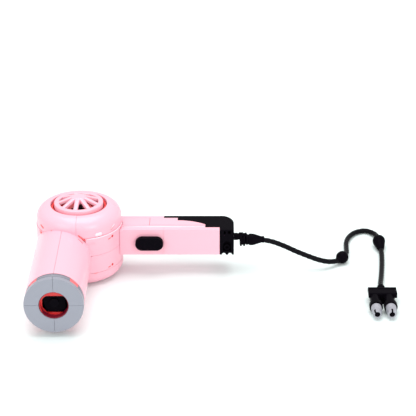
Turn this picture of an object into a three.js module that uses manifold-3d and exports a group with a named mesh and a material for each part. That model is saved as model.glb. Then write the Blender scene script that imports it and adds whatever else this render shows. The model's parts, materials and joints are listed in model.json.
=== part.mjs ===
// A toy hair dryer built from construction bricks, lying on its side with its cord laid out.
// Millimetres, +Z up. The origin is on the ground, under the centre of the round fan drum.
// The barrel points towards -Y and the handle towards +X.
import * as THREE from 'three';
import { mergeVertices } from 'three/addons/utils/BufferGeometryUtils.js';
import Module from 'manifold-3d';

const wasm = await Module();
wasm.setup();

// ---- driving dimensions -------------------------------------------------------------------
const STUD = 8; // pitch of the brick grid
const PLATE = 3.2; // height of one plate
const SEAM = 0.2; // joint between two neighbouring bricks
const GAP = 0.35; // room round a piece that passes another

const DRUM_R = 24.4; // outside of the drum wall
const DOME_R = 24; // outside of the dome at its foot
const MOUTH_R = 16; // round opening in the dome, and the flat of the base
const WALL = PLATE; // wall thickness of every shell
const BASE_ROUND = 6.4; // height of the rounded foot of the drum
const BASE_TOP = 8.7; // top of the base quarters
const COURSE_TOP = 19.5; // seam between the two wall courses
const WALL_TOP = 30.7; // top of the upper wall course
const SHOULDER_Z = 34.7; // where the dome starts to round over
const DRUM_TOP = 41.6; // rim of the opening in the dome

const BARREL_X = -8; // barrel axis
const BARREL_Z = 19.2;
const BARREL_R = 16;
const NOZZLE_Y = -80; // front face of the nozzle ring
const BORE_R = 8; // air bore through the ring
const FLANGE_Y = NOZZLE_Y + PLATE; // back of the ring tiles
const SHELL_Y = FLANGE_Y + PLATE + 0.3; // front end of the barrel shells

const GRIP_X1 = 80; // end of the panels and start of the end brick
const HANDLE_END = 88;
const HANDLE_Z0 = 13.1;
const HANDLE_Z1 = 28.9;
const FRONT_Y = -8; // outside of the front panel
const FRONT_IN = -4.8; // back of the front panel
const RAIL_IN = -1.6; // back of the rail beside it
const REAR_IN = 7.9; // front of the rear strip
const REAR_Y = 10.5; // back of the handle
const PANEL_SPLIT = 48; // where the front panels meet
const TOP_SPLIT = 40; // where the top tiles meet

const WHEEL_R = 13.9; // grille wheel
const WHEEL_RIM_IN = 11.1;
const WHEEL_TOP = 43.05; // top of its rim
const HUB_TOP = 46.3;
const HUB_R = 4.2;
const SPOKES = 9;
const SPOKE_W = 2.5;
const FIRST_SPOKE = -95.5; // direction of one spoke, in degrees
const PIN_R = 2.4; // axle pin of the grille wheel
const PIN_BORE_R = 2.5;

const CORD_D = 3; // hose that stands for the mains cord
const CORD_SIDES = 8;

// ---- helpers ------------------------------------------------------------------------------
const deg = (a) => (a * Math.PI) / 180;

/** Turns a closed three.js geometry into a solid for joining and cutting. */
function solid(geometry) {
  const bare = geometry.clone();
  bare.deleteAttribute('normal');
  bare.deleteAttribute('uv');
  const merged = mergeVertices(bare, 1e-4);
  const place = merged.getAttribute('position');
  let triangles = [];
  for (let i = 0; i < merged.index.count; i += 3) {
    const t = [0, 1, 2].map((k) => merged.index.getX(i + k));
    if (t[0] !== t[1] && t[1] !== t[2] && t[2] !== t[0]) triangles.push(t);
  }
  const [a, b, c] = [0, 1, 2].map(() => new THREE.Vector3());
  const volume = triangles.reduce((sum, t) => {
    [a, b, c].forEach((v, k) => v.fromBufferAttribute(place, t[k]));
    return sum + a.dot(b.clone().cross(c));
  }, 0);
  if (volume < 0) triangles = triangles.map(([p, q, r]) => [p, r, q]);
  return new wasm.Manifold(
    new wasm.Mesh({
      numProp: 3,
      vertProperties: Float32Array.from(place.array),
      triVerts: Uint32Array.from(triangles.flat()),
    }),
  );
}

/** A box between two corners. */
function box([x0, y0, z0], [x1, y1, z1]) {
  const g = new THREE.BoxGeometry(x1 - x0, y1 - y0, z1 - z0);
  g.translate((x0 + x1) / 2, (y0 + y1) / 2, (z0 + z1) / 2);
  return solid(g);
}

/** A flat outline carried up from z0 to z1. */
function prism(shape, z0, z1, steps = 8) {
  const options = { depth: z1 - z0, bevelEnabled: false, curveSegments: steps };
  return solid(new THREE.ExtrudeGeometry(shape, options).translate(0, 0, z0));
}

/** A flat outline drawn in X and Z, carried along Y from y0 to y1. */
function prismY(shape, y0, y1, steps = 8) {
  const options = { depth: y1 - y0, bevelEnabled: false, curveSegments: steps };
  const g = new THREE.ExtrudeGeometry(shape, options);
  return solid(g.rotateX(Math.PI / 2).translate(0, y1, 0));
}

/** The outline of part of a ring, between two angles in degrees. */
function sectorShape(rIn, rOut, a0, a1, cx = 0, cy = 0) {
  const s = new THREE.Shape();
  s.absarc(cx, cy, rOut, deg(a0), deg(a1), false);
  s.absarc(cx, cy, rIn, deg(a1), deg(a0), true);
  s.closePath();
  return s;
}

/** A round rod or disc standing on z0. */
function rod(r, z0, z1, x = 0, y = 0, sides = 32) {
  const g = new THREE.CylinderGeometry(r, r, z1 - z0, sides);
  return solid(g.rotateX(Math.PI / 2).translate(x, y, (z0 + z1) / 2));
}

/** A round rod lying along Y. */
function rodY(r, y0, y1, x = BARREL_X, z = BARREL_Z, sides = 48) {
  return solid(new THREE.CylinderGeometry(r, r, y1 - y0, sides).translate(x, (y0 + y1) / 2, z));
}

/** A round rod lying along X. */
function rodX(r0, r1, x0, x1, y, z, sides = 16) {
  const g = new THREE.CylinderGeometry(r1, r0, x1 - x0, sides);
  return solid(g.rotateZ(-Math.PI / 2).translate((x0 + x1) / 2, y, z));
}

/** A closed profile of [radius, height] points turned round the Z axis. */
function turned(profile, sides = 64) {
  const points = [...profile, profile[0]].map(([r, z]) => new THREE.Vector2(r, z));
  return solid(new THREE.LatheGeometry(points, sides).rotateX(Math.PI / 2));
}

/** Points on a quarter ellipse in a turned profile, from angle a0 to a1 in degrees. */
function ellipse(cr, cz, er, ez, a0, a1, steps = 8) {
  return Array.from({ length: steps + 1 }, (_, i) => {
    const a = deg(a0 + ((a1 - a0) * i) / steps);
    return [cr + er * Math.cos(a), cz + ez * Math.sin(a)];
  });
}

const group = new THREE.Group();

/** Names a solid, gives it a material and puts it in the model. */
function add(name, body, material) {
  const mesh = body.getMesh();
  const g = new THREE.BufferGeometry();
  g.setAttribute('position', new THREE.BufferAttribute(Float32Array.from(mesh.vertProperties), 3));
  g.setIndex(new THREE.BufferAttribute(Uint32Array.from(mesh.triVerts), 1));
  const flat = g.toNonIndexed();
  flat.computeVertexNormals();
  const node = new THREE.Mesh(flat, material);
  node.name = name;
  group.add(node);
}

const plastic = (color, roughness) =>
  new THREE.MeshStandardMaterial({ color, roughness, metalness: 0 });
const pink = plastic('#fcc9d8', 0.3);
const black = plastic('#16141a', 0.35);
const red = plastic('#d8202c', 0.35);
const lightGrey = plastic('#a6a9b5', 0.35);
const darkGrey = plastic('#5b5e66', 0.4);
const cordBlack = plastic('#141318', 0.6);

// ---- drum: base, walls and dome -----------------------------------------------------------
const barrelHole = rodY(BARREL_R + GAP, -40, 0);
const quarters = ['front_right', 'rear_right', 'rear_left', 'front_left'];
const quarterStart = { front_right: -90, rear_right: 0, rear_left: 90, front_left: 180 };
// half of a seam, as an angle at the drum wall
const SEAM_DEG = THREE.MathUtils.radToDeg(SEAM / 2 / DRUM_R);

/** Keeps the quarter of a turned ring that starts at an angle. */
function quarterOf(ring, start, z0, z1) {
  const reach = 2 * DRUM_R;
  const wedge = sectorShape(2, reach, start + SEAM_DEG, start + 90 - SEAM_DEG);
  return ring.intersect(prism(wedge, z0, z1, 4));
}

const baseRing = turned([
  [MOUTH_R, 0],
  ...ellipse(MOUTH_R, BASE_ROUND, DRUM_R - MOUTH_R, BASE_ROUND, -85, 0),
  [DRUM_R, BASE_TOP - SEAM],
  [DRUM_R - WALL, BASE_TOP - SEAM],
  [DRUM_R - WALL, PLATE + 1],
  [MOUTH_R, PLATE],
]);
const domeRing = turned([
  [DOME_R, WALL_TOP + SEAM],
  ...ellipse(MOUTH_R, SHOULDER_Z, DOME_R - MOUTH_R, DRUM_TOP - SHOULDER_Z, 0, 90),
  [MOUTH_R, SHOULDER_Z + 1],
  [DOME_R - WALL, SHOULDER_Z],
  [DOME_R - WALL, WALL_TOP + SEAM],
]);
for (const side of quarters) {
  const start = quarterStart[side];
  const low = quarterOf(baseRing, start, -1, BASE_TOP);
  add(`base_quarter_${side}`, low.subtract(barrelHole), pink);
}
for (const side of quarters) {
  const start = quarterStart[side];
  const top = quarterOf(domeRing, start, WALL_TOP, DRUM_TOP + 1);
  add(`dome_quarter_${side}`, top.subtract(barrelHole), pink);
}
add('base_plate', rod(MOUTH_R - SEAM, 0, PLATE, 0, 0, 64), pink);

// the handle beam runs through the drum wall on the +X side
const BEAM_Y0 = RAIL_IN + SEAM;
const BEAM_Y1 = REAR_IN - SEAM;
const BEAM_Z0 = HANDLE_Z0 + PLATE;
const BEAM_Z1 = HANDLE_Z1 - PLATE;
const beamHole = box([8, BEAM_Y0 - GAP, BEAM_Z0 - GAP], [40, BEAM_Y1 + GAP, BEAM_Z1 + GAP]);
const courses = { lower: [BASE_TOP, COURSE_TOP], upper: [COURSE_TOP, WALL_TOP] };
// each wall panel: where it starts and ends round the drum, in degrees
const panels = { front: [-78, 0], rear: [0, 90], left: [90, 220] };
for (const [course, [z0, z1]] of Object.entries(courses)) {
  for (const [place, [a0, a1]] of Object.entries(panels)) {
    const s = sectorShape(DRUM_R - WALL, DRUM_R, a0 + SEAM_DEG, a1 - SEAM_DEG);
    const panel = prism(s, z0, z1 - SEAM / 2, 12).subtract(barrelHole).subtract(beamHole);
    add(`wall_${place}_${course}`, panel, pink);
  }
}

// ---- drum: bricks inside ------------------------------------------------------------------
const CORE_R = DOME_R - WALL - GAP;
const CORE_LOW_TOP = BASE_TOP - SEAM;
const CORE_HIGH_Z = 30.4; // deck under the dome
const CORE_HIGH_TOP = CORE_HIGH_Z + PLATE;
const DECK_HOLE_R = 9.6;
add('core_floor_plate', rod(CORE_R - 0.4, PLATE + 1.2, CORE_LOW_TOP, 0, 0, 48), red);
const columnTop = CORE_HIGH_Z - SEAM;
add('core_column', box([-STUD, -STUD, CORE_LOW_TOP + SEAM], [STUD, STUD, columnTop]), red);
const deck = rod(CORE_R, CORE_HIGH_Z, CORE_HIGH_TOP, 0, 0, 48);
add('core_deck_plate', deck.subtract(rod(DECK_HOLE_R, CORE_HIGH_Z - 1, CORE_HIGH_TOP + 1)), red);
// the collar lines the mouth of the dome, round the wheel, and has a wider foot
const collarTop = DRUM_TOP - 1.4;
const COLLAR_FOOT = 2.6;
const collar = turned([
  [MOUTH_R - 0.4, CORE_HIGH_TOP + SEAM],
  [MOUTH_R - 0.4, collarTop],
  [WHEEL_R + 0.6, collarTop],
  [WHEEL_R + 0.6, CORE_HIGH_TOP + COLLAR_FOOT + 1],
  [MOUTH_R - COLLAR_FOOT, CORE_HIGH_TOP + COLLAR_FOOT],
  [MOUTH_R - COLLAR_FOOT, CORE_HIGH_TOP + SEAM],
]);
add('recess_collar', collar, red);
const HUB_BRICK_TOP = 39.4;
const axleHole = rod(PIN_BORE_R, CORE_HIGH_Z + 1, HUB_BRICK_TOP + 1, 0, 0, 24);
const hubBrick = rod(STUD - 0.1, CORE_HIGH_Z, HUB_BRICK_TOP).subtract(axleHole);
add('hub_brick', hubBrick, black);
add('axle_pin', rod(PIN_R, CORE_HIGH_Z + 1 + SEAM, HUB_TOP - 1.6, 0, 0, 24), darkGrey);

// ---- grille wheel: a rim, a raised hub and nine sloping spokes ----------------------------
const RIM_H = 4.2;
const rim = turned(
  [
    [WHEEL_RIM_IN, WHEEL_TOP - RIM_H],
    [WHEEL_R, WHEEL_TOP - RIM_H],
    [WHEEL_R, WHEEL_TOP - 0.5],
    [WHEEL_R - 0.5, WHEEL_TOP],
    [WHEEL_RIM_IN, WHEEL_TOP],
  ],
  72,
);
const hubUnder = HUB_BRICK_TOP + GAP;
let wheel = rim.add(rod(HUB_R, hubUnder, HUB_TOP, 0, 0, 36));
for (let i = 0; i < SPOKES; i += 1) {
  const s = new THREE.Shape();
  s.moveTo(HUB_R - 1, HUB_TOP - 2.2);
  s.lineTo(WHEEL_RIM_IN + 1, WHEEL_TOP - 1.7);
  s.lineTo(WHEEL_RIM_IN + 1, WHEEL_TOP - 0.1);
  s.lineTo(HUB_R - 1, HUB_TOP - 0.1);
  s.closePath();
  const options = { depth: SPOKE_W, bevelEnabled: false };
  const spoke = new THREE.ExtrudeGeometry(s, options).rotateX(Math.PI / 2);
  spoke.translate(0, SPOKE_W / 2, 0).rotateZ(deg(FIRST_SPOKE + (360 / SPOKES) * i));
  wheel = wheel.add(solid(spoke));
}
add('grille_wheel', wheel.subtract(rod(PIN_BORE_R, 0, HUB_TOP - 1.3, 0, 0, 24)), pink);

// ---- barrel -------------------------------------------------------------------------------
const drumCut = rod(DRUM_R + GAP, -10, 60, 0, 0, 96);
const shellStarts = { top_right: 0, top_left: 90, bottom_left: 180, bottom_right: 270 };
const shellSeam = THREE.MathUtils.radToDeg(SEAM / 2 / BARREL_R);
for (const [place, a0] of Object.entries(shellStarts)) {
  const [from, to] = [a0 + shellSeam, a0 + 90 - shellSeam];
  const outline = sectorShape(BARREL_R - WALL, BARREL_R, from, to, BARREL_X, BARREL_Z);
  add(`barrel_shell_${place}`, prismY(outline, SHELL_Y, 0).subtract(drumCut), pink);
}

const coreBrick = (y0, y1) =>
  box([BARREL_X - STUD, y0, BARREL_Z - STUD], [BARREL_X + STUD, y1, BARREL_Z + STUD]);
const BORE_BACK = NOZZLE_Y + 4.4; // the bore ends here in a wall with a window
const LINER_BACK = SHELL_Y + PLATE;
const MUZZLE_DEPTH = 4.8;
const muzzleBack = LINER_BACK + MUZZLE_DEPTH + SEAM;
const barrelCore = coreBrick(muzzleBack + SEAM, -STUD - SEAM);
add('barrel_core', barrelCore, red);

/** The window behind the bore: a flat sill and a lower, rounded head, made smaller by a clearance. */
function windowShape(clear) {
  const WINDOW_HALF = 6.2;
  const WINDOW_SILL = -6.3;
  const WINDOW_HEAD = 4.2;
  const round = 3;
  const half = WINDOW_HALF - clear;
  const head = WINDOW_HEAD - clear;
  const s = new THREE.Shape();
  s.moveTo(BARREL_X - half + round / 2, BARREL_Z + WINDOW_SILL + clear);
  s.lineTo(BARREL_X + half - round / 2, BARREL_Z + WINDOW_SILL + clear);
  s.lineTo(BARREL_X + half, BARREL_Z + WINDOW_SILL + clear + round / 2);
  s.lineTo(BARREL_X + half, BARREL_Z + head - round);
  s.absarc(BARREL_X + half - round, BARREL_Z + head - round, round, 0, Math.PI / 2, false);
  s.absarc(BARREL_X - half + round, BARREL_Z + head - round, round, Math.PI / 2, Math.PI, false);
  s.closePath();
  return s;
}

// a black brick behind the window, with a face that fills it and one stud
const MUZZLE_STUD_R = 2.4;
const muzzleFace = BORE_BACK + SEAM;
const muzzle = coreBrick(LINER_BACK + SEAM, muzzleBack)
  .add(prismY(windowShape(GAP), muzzleFace, LINER_BACK + 1))
  .add(rodY(MUZZLE_STUD_R, muzzleFace - 1.6, muzzleFace + 1, BARREL_X, BARREL_Z, 24));
add('muzzle_brick', muzzle, black);

// liner: a tube in the bore, a disc behind the flange and four lugs through it
const LUG_W = 6;
const LUG_IN = 11.4; // the lugs reach from here to near the outside of the barrel
const LUG_OUT = BARREL_R - 0.6;
const DISC_R = BARREL_R - WALL - GAP;
const flangeFront = FLANGE_Y + SEAM;
const flangeBack = SHELL_Y - SEAM;

/** A block on the barrel, from radius r0 to r1 in the direction a and w wide. */
function lug(a, r0, r1, y0, y1, w) {
  const g = new THREE.BoxGeometry(r1 - r0, y1 - y0, w).translate((r0 + r1) / 2, (y0 + y1) / 2, 0);
  return solid(g.rotateY(deg(a)).translate(BARREL_X, 0, BARREL_Z));
}

let linerBody = rodY(9.7, flangeFront, LINER_BACK).add(rodY(DISC_R, SHELL_Y, LINER_BACK));
let flange = rodY(BARREL_R - 0.2, flangeFront, flangeBack);
flange = flange.subtract(rodY(9.7 + SEAM, FLANGE_Y, SHELL_Y));
for (const a of [45, 135, 225, 315]) {
  linerBody = linerBody
    .add(lug(a, LUG_IN, LUG_OUT, flangeFront, flangeBack, LUG_W))
    .add(lug(a, LUG_IN, DISC_R - 0.4, flangeFront, SHELL_Y + 1, LUG_W));
  flange = flange.subtract(
    lug(a, LUG_IN - SEAM, BARREL_R + 2, FLANGE_Y, SHELL_Y, LUG_W + 2 * SEAM),
  );
}
// a thin lip of the liner runs forward through the ring tiles
const LIP_OUT = BORE_R - SEAM;
const LIP_IN = BORE_R - 0.7;
const lipBody = rodY(LIP_OUT, NOZZLE_Y + 0.3, FLANGE_Y + 1);
const bore = rodY(LIP_IN, NOZZLE_Y - 1, BORE_BACK);
const window = prismY(windowShape(0), BORE_BACK - 1, LINER_BACK + 1);
add('bore_liner', linerBody.add(lipBody).subtract(bore).subtract(window), red);
add('nozzle_flange', flange, darkGrey);
for (const [place, a0] of Object.entries(shellStarts)) {
  const ring = sectorShape(BORE_R, BARREL_R, a0 + 0.4, a0 + 89.6, BARREL_X, BARREL_Z);
  add(`nozzle_tile_${place}`, prismY(ring, NOZZLE_Y, FLANGE_Y), lightGrey);
}

// ---- handle -------------------------------------------------------------------------------
const [z0, z1] = [HANDLE_Z0, HANDLE_Z1];
const drumFace = rod(DRUM_R + GAP, 0, 50, 0, 0, 96);
const X0 = 20; // inside the drum face, cut back to it
const trimmed = (body) => body.subtract(drumFace);
add('front_panel_inner', trimmed(box([X0, FRONT_Y, z0], [PANEL_SPLIT - SEAM / 2, FRONT_IN, z1])), pink);
const endSeam = GRIP_X1 - SEAM;
add('front_panel_outer', box([PANEL_SPLIT + SEAM / 2, FRONT_Y, z0], [endSeam, FRONT_IN, z1]), pink);
const railFront = FRONT_IN + SEAM / 2;
const railEnd = 71.8;
const gripTopZ = z1 - PLATE; // underside of the top tiles and of the black grip
const railUnder = box([X0, railFront, z0], [endSeam, RAIL_IN, gripTopZ - SEAM]);
const railTop = box([X0, railFront, gripTopZ - 1], [railEnd, RAIL_IN, z1]);
add('front_rail', trimmed(railUnder.add(railTop)), pink);

// the black grip covers the back of the handle, with a front edge that bends like a bow
const GRIP_STEP_X = 56;
const GRIP_STEP_Y = 4.6;
const GRIP_END_Y = -0.8;
const bowRun = railEnd - GRIP_STEP_X;
const bowDrop = GRIP_STEP_Y - GRIP_END_Y;
const bowR = (bowRun ** 2 + bowDrop ** 2) / (2 * bowDrop);
/** The bowed edge between the pink tile and the black grip, moved by a clearance. */
const edge = (dy) =>
  Array.from({ length: 9 }, (_, i) => {
    const a = (Math.asin(bowRun / bowR) * i) / 8;
    return new THREE.Vector2(
      GRIP_STEP_X + bowR * Math.sin(a),
      GRIP_STEP_Y - bowR * (1 - Math.cos(a)) + dy,
    );
  });
const tileOuter = new THREE.Shape([
  new THREE.Vector2(TOP_SPLIT + SEAM / 2, RAIL_IN + SEAM),
  new THREE.Vector2(TOP_SPLIT + SEAM / 2, REAR_IN - SEAM),
  new THREE.Vector2(GRIP_STEP_X - SEAM, REAR_IN - SEAM),
  new THREE.Vector2(GRIP_STEP_X - SEAM, GRIP_STEP_Y - SEAM),
  ...edge(-SEAM),
  new THREE.Vector2(railEnd, RAIL_IN + SEAM),
]);
const tileInner = box([X0, RAIL_IN + SEAM, gripTopZ], [TOP_SPLIT - SEAM / 2, REAR_IN - SEAM, z1]);
add('top_tile_inner', trimmed(tileInner), pink);
add('top_tile_outer', prism(tileOuter, gripTopZ, z1), pink);
const gripOutline = new THREE.Shape([
  new THREE.Vector2(GRIP_STEP_X, REAR_IN - SEAM),
  new THREE.Vector2(GRIP_STEP_X, GRIP_STEP_Y),
  ...edge(0),
  new THREE.Vector2(railEnd + SEAM, GRIP_END_Y),
  new THREE.Vector2(railEnd + SEAM, railFront),
  new THREE.Vector2(endSeam, railFront),
  new THREE.Vector2(endSeam, REAR_IN - SEAM),
]);
add('grip_top', prism(gripOutline, gripTopZ, z1), black);
add('grip_rear', box([PANEL_SPLIT + SEAM / 2, REAR_IN, z0], [endSeam, REAR_Y, z1]), black);
add('rear_panel', trimmed(box([X0, REAR_IN, z0], [PANEL_SPLIT - SEAM / 2, REAR_Y - 0.2, z1])), pink);
const floorTop = BEAM_Z0 - SEAM;
const floor = box([X0, RAIL_IN + SEAM, z0], [endSeam, REAR_IN - SEAM, floorTop]);
add('bottom_tile', trimmed(floor), pink);
const beamStart = STUD + SEAM;
const beamBox = box([beamStart, BEAM_Y0, BEAM_Z0], [endSeam, BEAM_Y1, gripTopZ - SEAM]);
add('handle_beam', beamBox, red);
// black end brick with a rounded back corner and an arched hollow in its front
const endOutline = new THREE.Shape();
const CORNER = 7;
endOutline.moveTo(GRIP_X1, FRONT_Y);
endOutline.lineTo(HANDLE_END, FRONT_Y);
endOutline.lineTo(HANDLE_END, REAR_Y - CORNER * 1.4);
endOutline.absellipse(
  HANDLE_END - CORNER,
  REAR_Y - CORNER * 1.4,
  CORNER,
  CORNER * 1.4,
  0,
  Math.PI / 2,
  false,
);
endOutline.lineTo(GRIP_X1, REAR_Y);
endOutline.closePath();
const ARCH_X = 84.1;
const ARCH_HALF = 2.4;
const ARCH_FOOT = 15.4;
const ARCH_SPRING = 19.2; // where the arch starts to round over
const SLOT_LOW = 26.1;
const SLOT_HIGH = 28;
const hollowEnd = FRONT_Y + 2;
let endBrick = prism(endOutline, z0, z1)
  .subtract(
    box([ARCH_X - ARCH_HALF, FRONT_Y - 1, ARCH_FOOT], [ARCH_X + ARCH_HALF, hollowEnd, ARCH_SPRING]),
  )
  .subtract(rodY(ARCH_HALF, FRONT_Y - 1, hollowEnd, ARCH_X, ARCH_SPRING, 20));
for (const [from, to] of [
  [82.2, 83.3],
  [84.5, 86.1],
]) {
  endBrick = endBrick.subtract(box([from, FRONT_Y - 1, SLOT_LOW], [to, hollowEnd, SLOT_HIGH]));
}
add('end_brick', endBrick, black);

// pill-shaped switch cap on the front panel
const PILL_X0 = 32;
const PILL_Z = (z0 + z1) / 2;
const PILL_R = STUD / 2 - 0.05;
const pill = new THREE.Shape();
pill.absarc(PILL_X0 + STUD / 2, PILL_Z, PILL_R, Math.PI / 2, (3 * Math.PI) / 2, false);
pill.absarc(PILL_X0 + 1.5 * STUD, PILL_Z, PILL_R, -Math.PI / 2, Math.PI / 2, false);
pill.closePath();
// it stands one plate proud of the panel
add('switch_cap', prismY(pill, FRONT_Y - PLATE, FRONT_Y - 0.1), black);

// ---- cord: socket, clip, boot, three hoses, two joining balls and the plug ------------------
const CORD_Y = 1.2; // where the cord leaves the handle
const SOCKET_Z = 20.2;
const SOCKET_R = 2.1;
const CLIP_X0 = 90.6;
const CLIP_X1 = 95;
const socketEnd = CLIP_X0 - GAP;
add('cord_socket', rodX(SOCKET_R, SOCKET_R, HANDLE_END + 0.1, socketEnd, CORD_Y, SOCKET_Z), black);
const clip = box([CLIP_X0, CORD_Y - 2.6, 14.3], [CLIP_X1, CORD_Y + 2.6, 22.7]);
add('cord_clip', clip, black);
const BOOT_Z = 18.3;
const BOOT_R = 3.4;
const BOOT_TIP_R = 1.9;
const TAPER_X = 99.6;
const BOOT_X1 = 105;
const boot = rodX(BOOT_R, BOOT_R, CLIP_X1 + GAP, TAPER_X, CORD_Y, BOOT_Z).add(
  rodX(BOOT_R, BOOT_TIP_R, TAPER_X, BOOT_X1, CORD_Y, BOOT_Z),
);
add('strain_boot', boot, black);

/** An eight-sided hose through a list of [x, y, z] points. */
function hose(name, points, steps) {
  const path = new THREE.CatmullRomCurve3(points.map((p) => new THREE.Vector3(...p)));
  const section = new THREE.Shape();
  for (let i = 0; i < CORD_SIDES; i += 1) {
    const a = ((i + 0.5) / CORD_SIDES) * 2 * Math.PI;
    const p = [(CORD_D / 2) * Math.cos(a), (CORD_D / 2) * Math.sin(a)];
    if (i === 0) section.moveTo(...p);
    else section.lineTo(...p);
  }
  section.closePath();
  const options = { steps, extrudePath: path, bevelEnabled: false };
  add(name, solid(new THREE.ExtrudeGeometry(section, options)), cordBlack);
}

// the first hose droops from the handle to the ground, the others lie on it
hose(
  'cord_first',
  [
    [105.3, 1.2, 17.9],
    [107.5, 1.2, 17.5],
    [111, 1.1, 16.6],
    [117, 0.5, 14.4],
    [124, -0.9, 11.6],
    [131, -1.7, 8.9],
    [137, -1.3, 6.4],
    [142, 0.3, 4.5],
    [146, 2.6, 3.4],
    [148.3, 4.4, 3],
  ],
  14,
);
hose(
  'cord_second',
  [
    [152.6, 10.6, 2.6],
    [154.2, 17, 2],
    [154.6, 24, 1.7],
    [155.2, 31.5, 1.7],
    [157.4, 38.6, 1.7],
    [161.6, 44.4, 1.7],
    [167.4, 46.6, 1.7],
    [172, 43, 1.9],
    [173.9, 37.6, 2.3],
    [174.2, 32.6, 2.8],
  ],
  16,
);
hose(
  'cord_third',
  [
    [174.7, 20.4, 2.2],
    [174.6, 14, 1.8],
    [174, 6, 1.7],
    [173, -4, 1.7],
    [171.8, -14, 1.8],
    [170.6, -23, 2.4],
    [170.2, -29, 3],
  ],
  12,
);

/** A ball that joins two hoses. */
function ball(name, [x, y, z], r) {
  add(name, solid(new THREE.SphereGeometry(r, 14, 10).translate(x, y, z)), black);
}
ball('cord_ball_first', [151, 7.2, 3.8], 3.7);

/** A ball with a cone towards the plug. */
const BALL_R = 3.8;
const secondBall = new THREE.SphereGeometry(BALL_R, 14, 10).translate(174.1, 28.2, 3.85);
const cone = new THREE.CylinderGeometry(3.3, 1.9, 5.4, 14).translate(174.1, 0, 0);
cone.translate(0, 23.5, 3.4);
add('cord_ball_second', solid(secondBall).add(solid(cone)), black);

const PLUG_X = 170.1; // middle of the plug
const PLUG_Z = 3.75; // height of its pins
const NECK_END = -34.6;
const neck = new THREE.CylinderGeometry(1.9, 2.6, 5.2, 14).translate(PLUG_X, NECK_END + 2.6, 3.4);
add('plug_neck', solid(neck), black);
const plugBack = NECK_END - SEAM;
const plugFront = plugBack - STUD;
const PLUG_TOP = 2 * PLATE;
const PLUG_STEP = 3.4; // the block is narrower below this height
const plugHalf = STUD - 0.1;
const plug = box([PLUG_X - plugHalf, plugFront, PLUG_STEP], [PLUG_X + plugHalf, plugBack, PLUG_TOP]);
const plugFoot = box(
  [PLUG_X - plugHalf + 1.4, plugFront, 0.2],
  [PLUG_X + plugHalf - 1.4, plugBack, PLUG_STEP + 1],
);
add('plug_block', plug.add(plugFoot), black);
const PINS_ASIDE = 0.6; // the pins sit this far left of the block's middle
const COLLAR_LONG = 11.1;
const COLLAR_RING = 3.6; // length of the thick ring at the front of a collar
const STEM_LONG = 3.6; // thick part of a pin
const PIN_LONG = 7.9;
const PIN_BORE_DEEP = 4;
for (const [place, side] of [
  ['left', -1],
  ['right', 1],
]) {
  const x = PLUG_X + (side * STUD) / 2 - PINS_ASIDE;
  const collarFront = plugFront - COLLAR_LONG;
  const collarRing = rodY(3.7, collarFront, collarFront + COLLAR_RING, x, PLUG_Z, 20);
  const collarTube = rodY(2.7, collarFront + 1, plugFront - SEAM, x, PLUG_Z, 20);
  add(`plug_collar_${place}`, collarRing.add(collarTube), black);
  const tip = collarFront - PIN_LONG;
  const pin = rodY(2.9, collarFront - STEM_LONG, collarFront - SEAM, x, PLUG_Z, 20).add(
    rodY(2.4, tip, collarFront - STEM_LONG + 1, x, PLUG_Z, 20),
  );
  const pinBore = rodY(1.6, tip - 1, tip + PIN_BORE_DEEP, x, PLUG_Z, 16);
  add(`plug_pin_${place}`, pin.subtract(pinBore), lightGrey);
}

export default group;
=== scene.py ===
# %% [markdown]
# # A toy hair dryer built from bricks
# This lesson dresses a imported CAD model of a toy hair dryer. The CAD already says where every brick is
# and how big it is. Here each brick gets a smooth surface, rounded edges and a moulded-plastic finish.
# The frame is loaded first, because every place and size below is read from it.

# %% Load the frame
import json
import math

import bmesh
import bpy
import numpy as np
from mathutils import Matrix, Vector


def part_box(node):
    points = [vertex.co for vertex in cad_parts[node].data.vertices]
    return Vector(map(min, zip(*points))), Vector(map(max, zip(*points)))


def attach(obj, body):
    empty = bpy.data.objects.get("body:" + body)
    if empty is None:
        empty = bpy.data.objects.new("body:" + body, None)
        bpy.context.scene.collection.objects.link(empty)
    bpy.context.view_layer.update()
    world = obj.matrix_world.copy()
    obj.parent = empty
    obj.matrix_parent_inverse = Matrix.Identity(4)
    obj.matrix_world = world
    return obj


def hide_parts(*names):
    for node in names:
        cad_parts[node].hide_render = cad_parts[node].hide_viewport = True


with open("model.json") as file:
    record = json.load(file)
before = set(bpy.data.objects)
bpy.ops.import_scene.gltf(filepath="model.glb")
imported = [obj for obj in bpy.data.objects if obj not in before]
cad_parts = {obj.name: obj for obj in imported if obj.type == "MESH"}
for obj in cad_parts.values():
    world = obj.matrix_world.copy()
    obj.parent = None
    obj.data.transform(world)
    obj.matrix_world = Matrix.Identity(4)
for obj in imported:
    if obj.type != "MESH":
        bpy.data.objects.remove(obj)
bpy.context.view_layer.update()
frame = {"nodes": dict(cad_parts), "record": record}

MM = 0.001
print("nodes in the frame:", len(frame["nodes"]))


# %% [markdown]
# A brick model is all seams and small steps, so sizes matter more than anything else. A helper reads
# them from the frame in millimetres. The drum's wall, the barrel's shells and the wheel then give the
# few radii and axes that the curved pieces are worked out from. Where two bricks meet, the CAD keeps
# a joint of a fifth of a millimetre. Here the joint is closed to a hair, and rounded edges show it.

# %% Read sizes from the frame
def box_mm(node):
    """Lowest and highest corner of a CAD node, in millimetres."""
    low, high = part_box(node)
    return np.array(low) / MM, np.array(high) / MM


def between(node_a, node_b, axis):
    """The middle of the joint between two nodes, where a ends and b starts along an axis."""
    return (box_mm(node_a)[1][axis] + box_mm(node_b)[0][axis]) / 2


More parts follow.
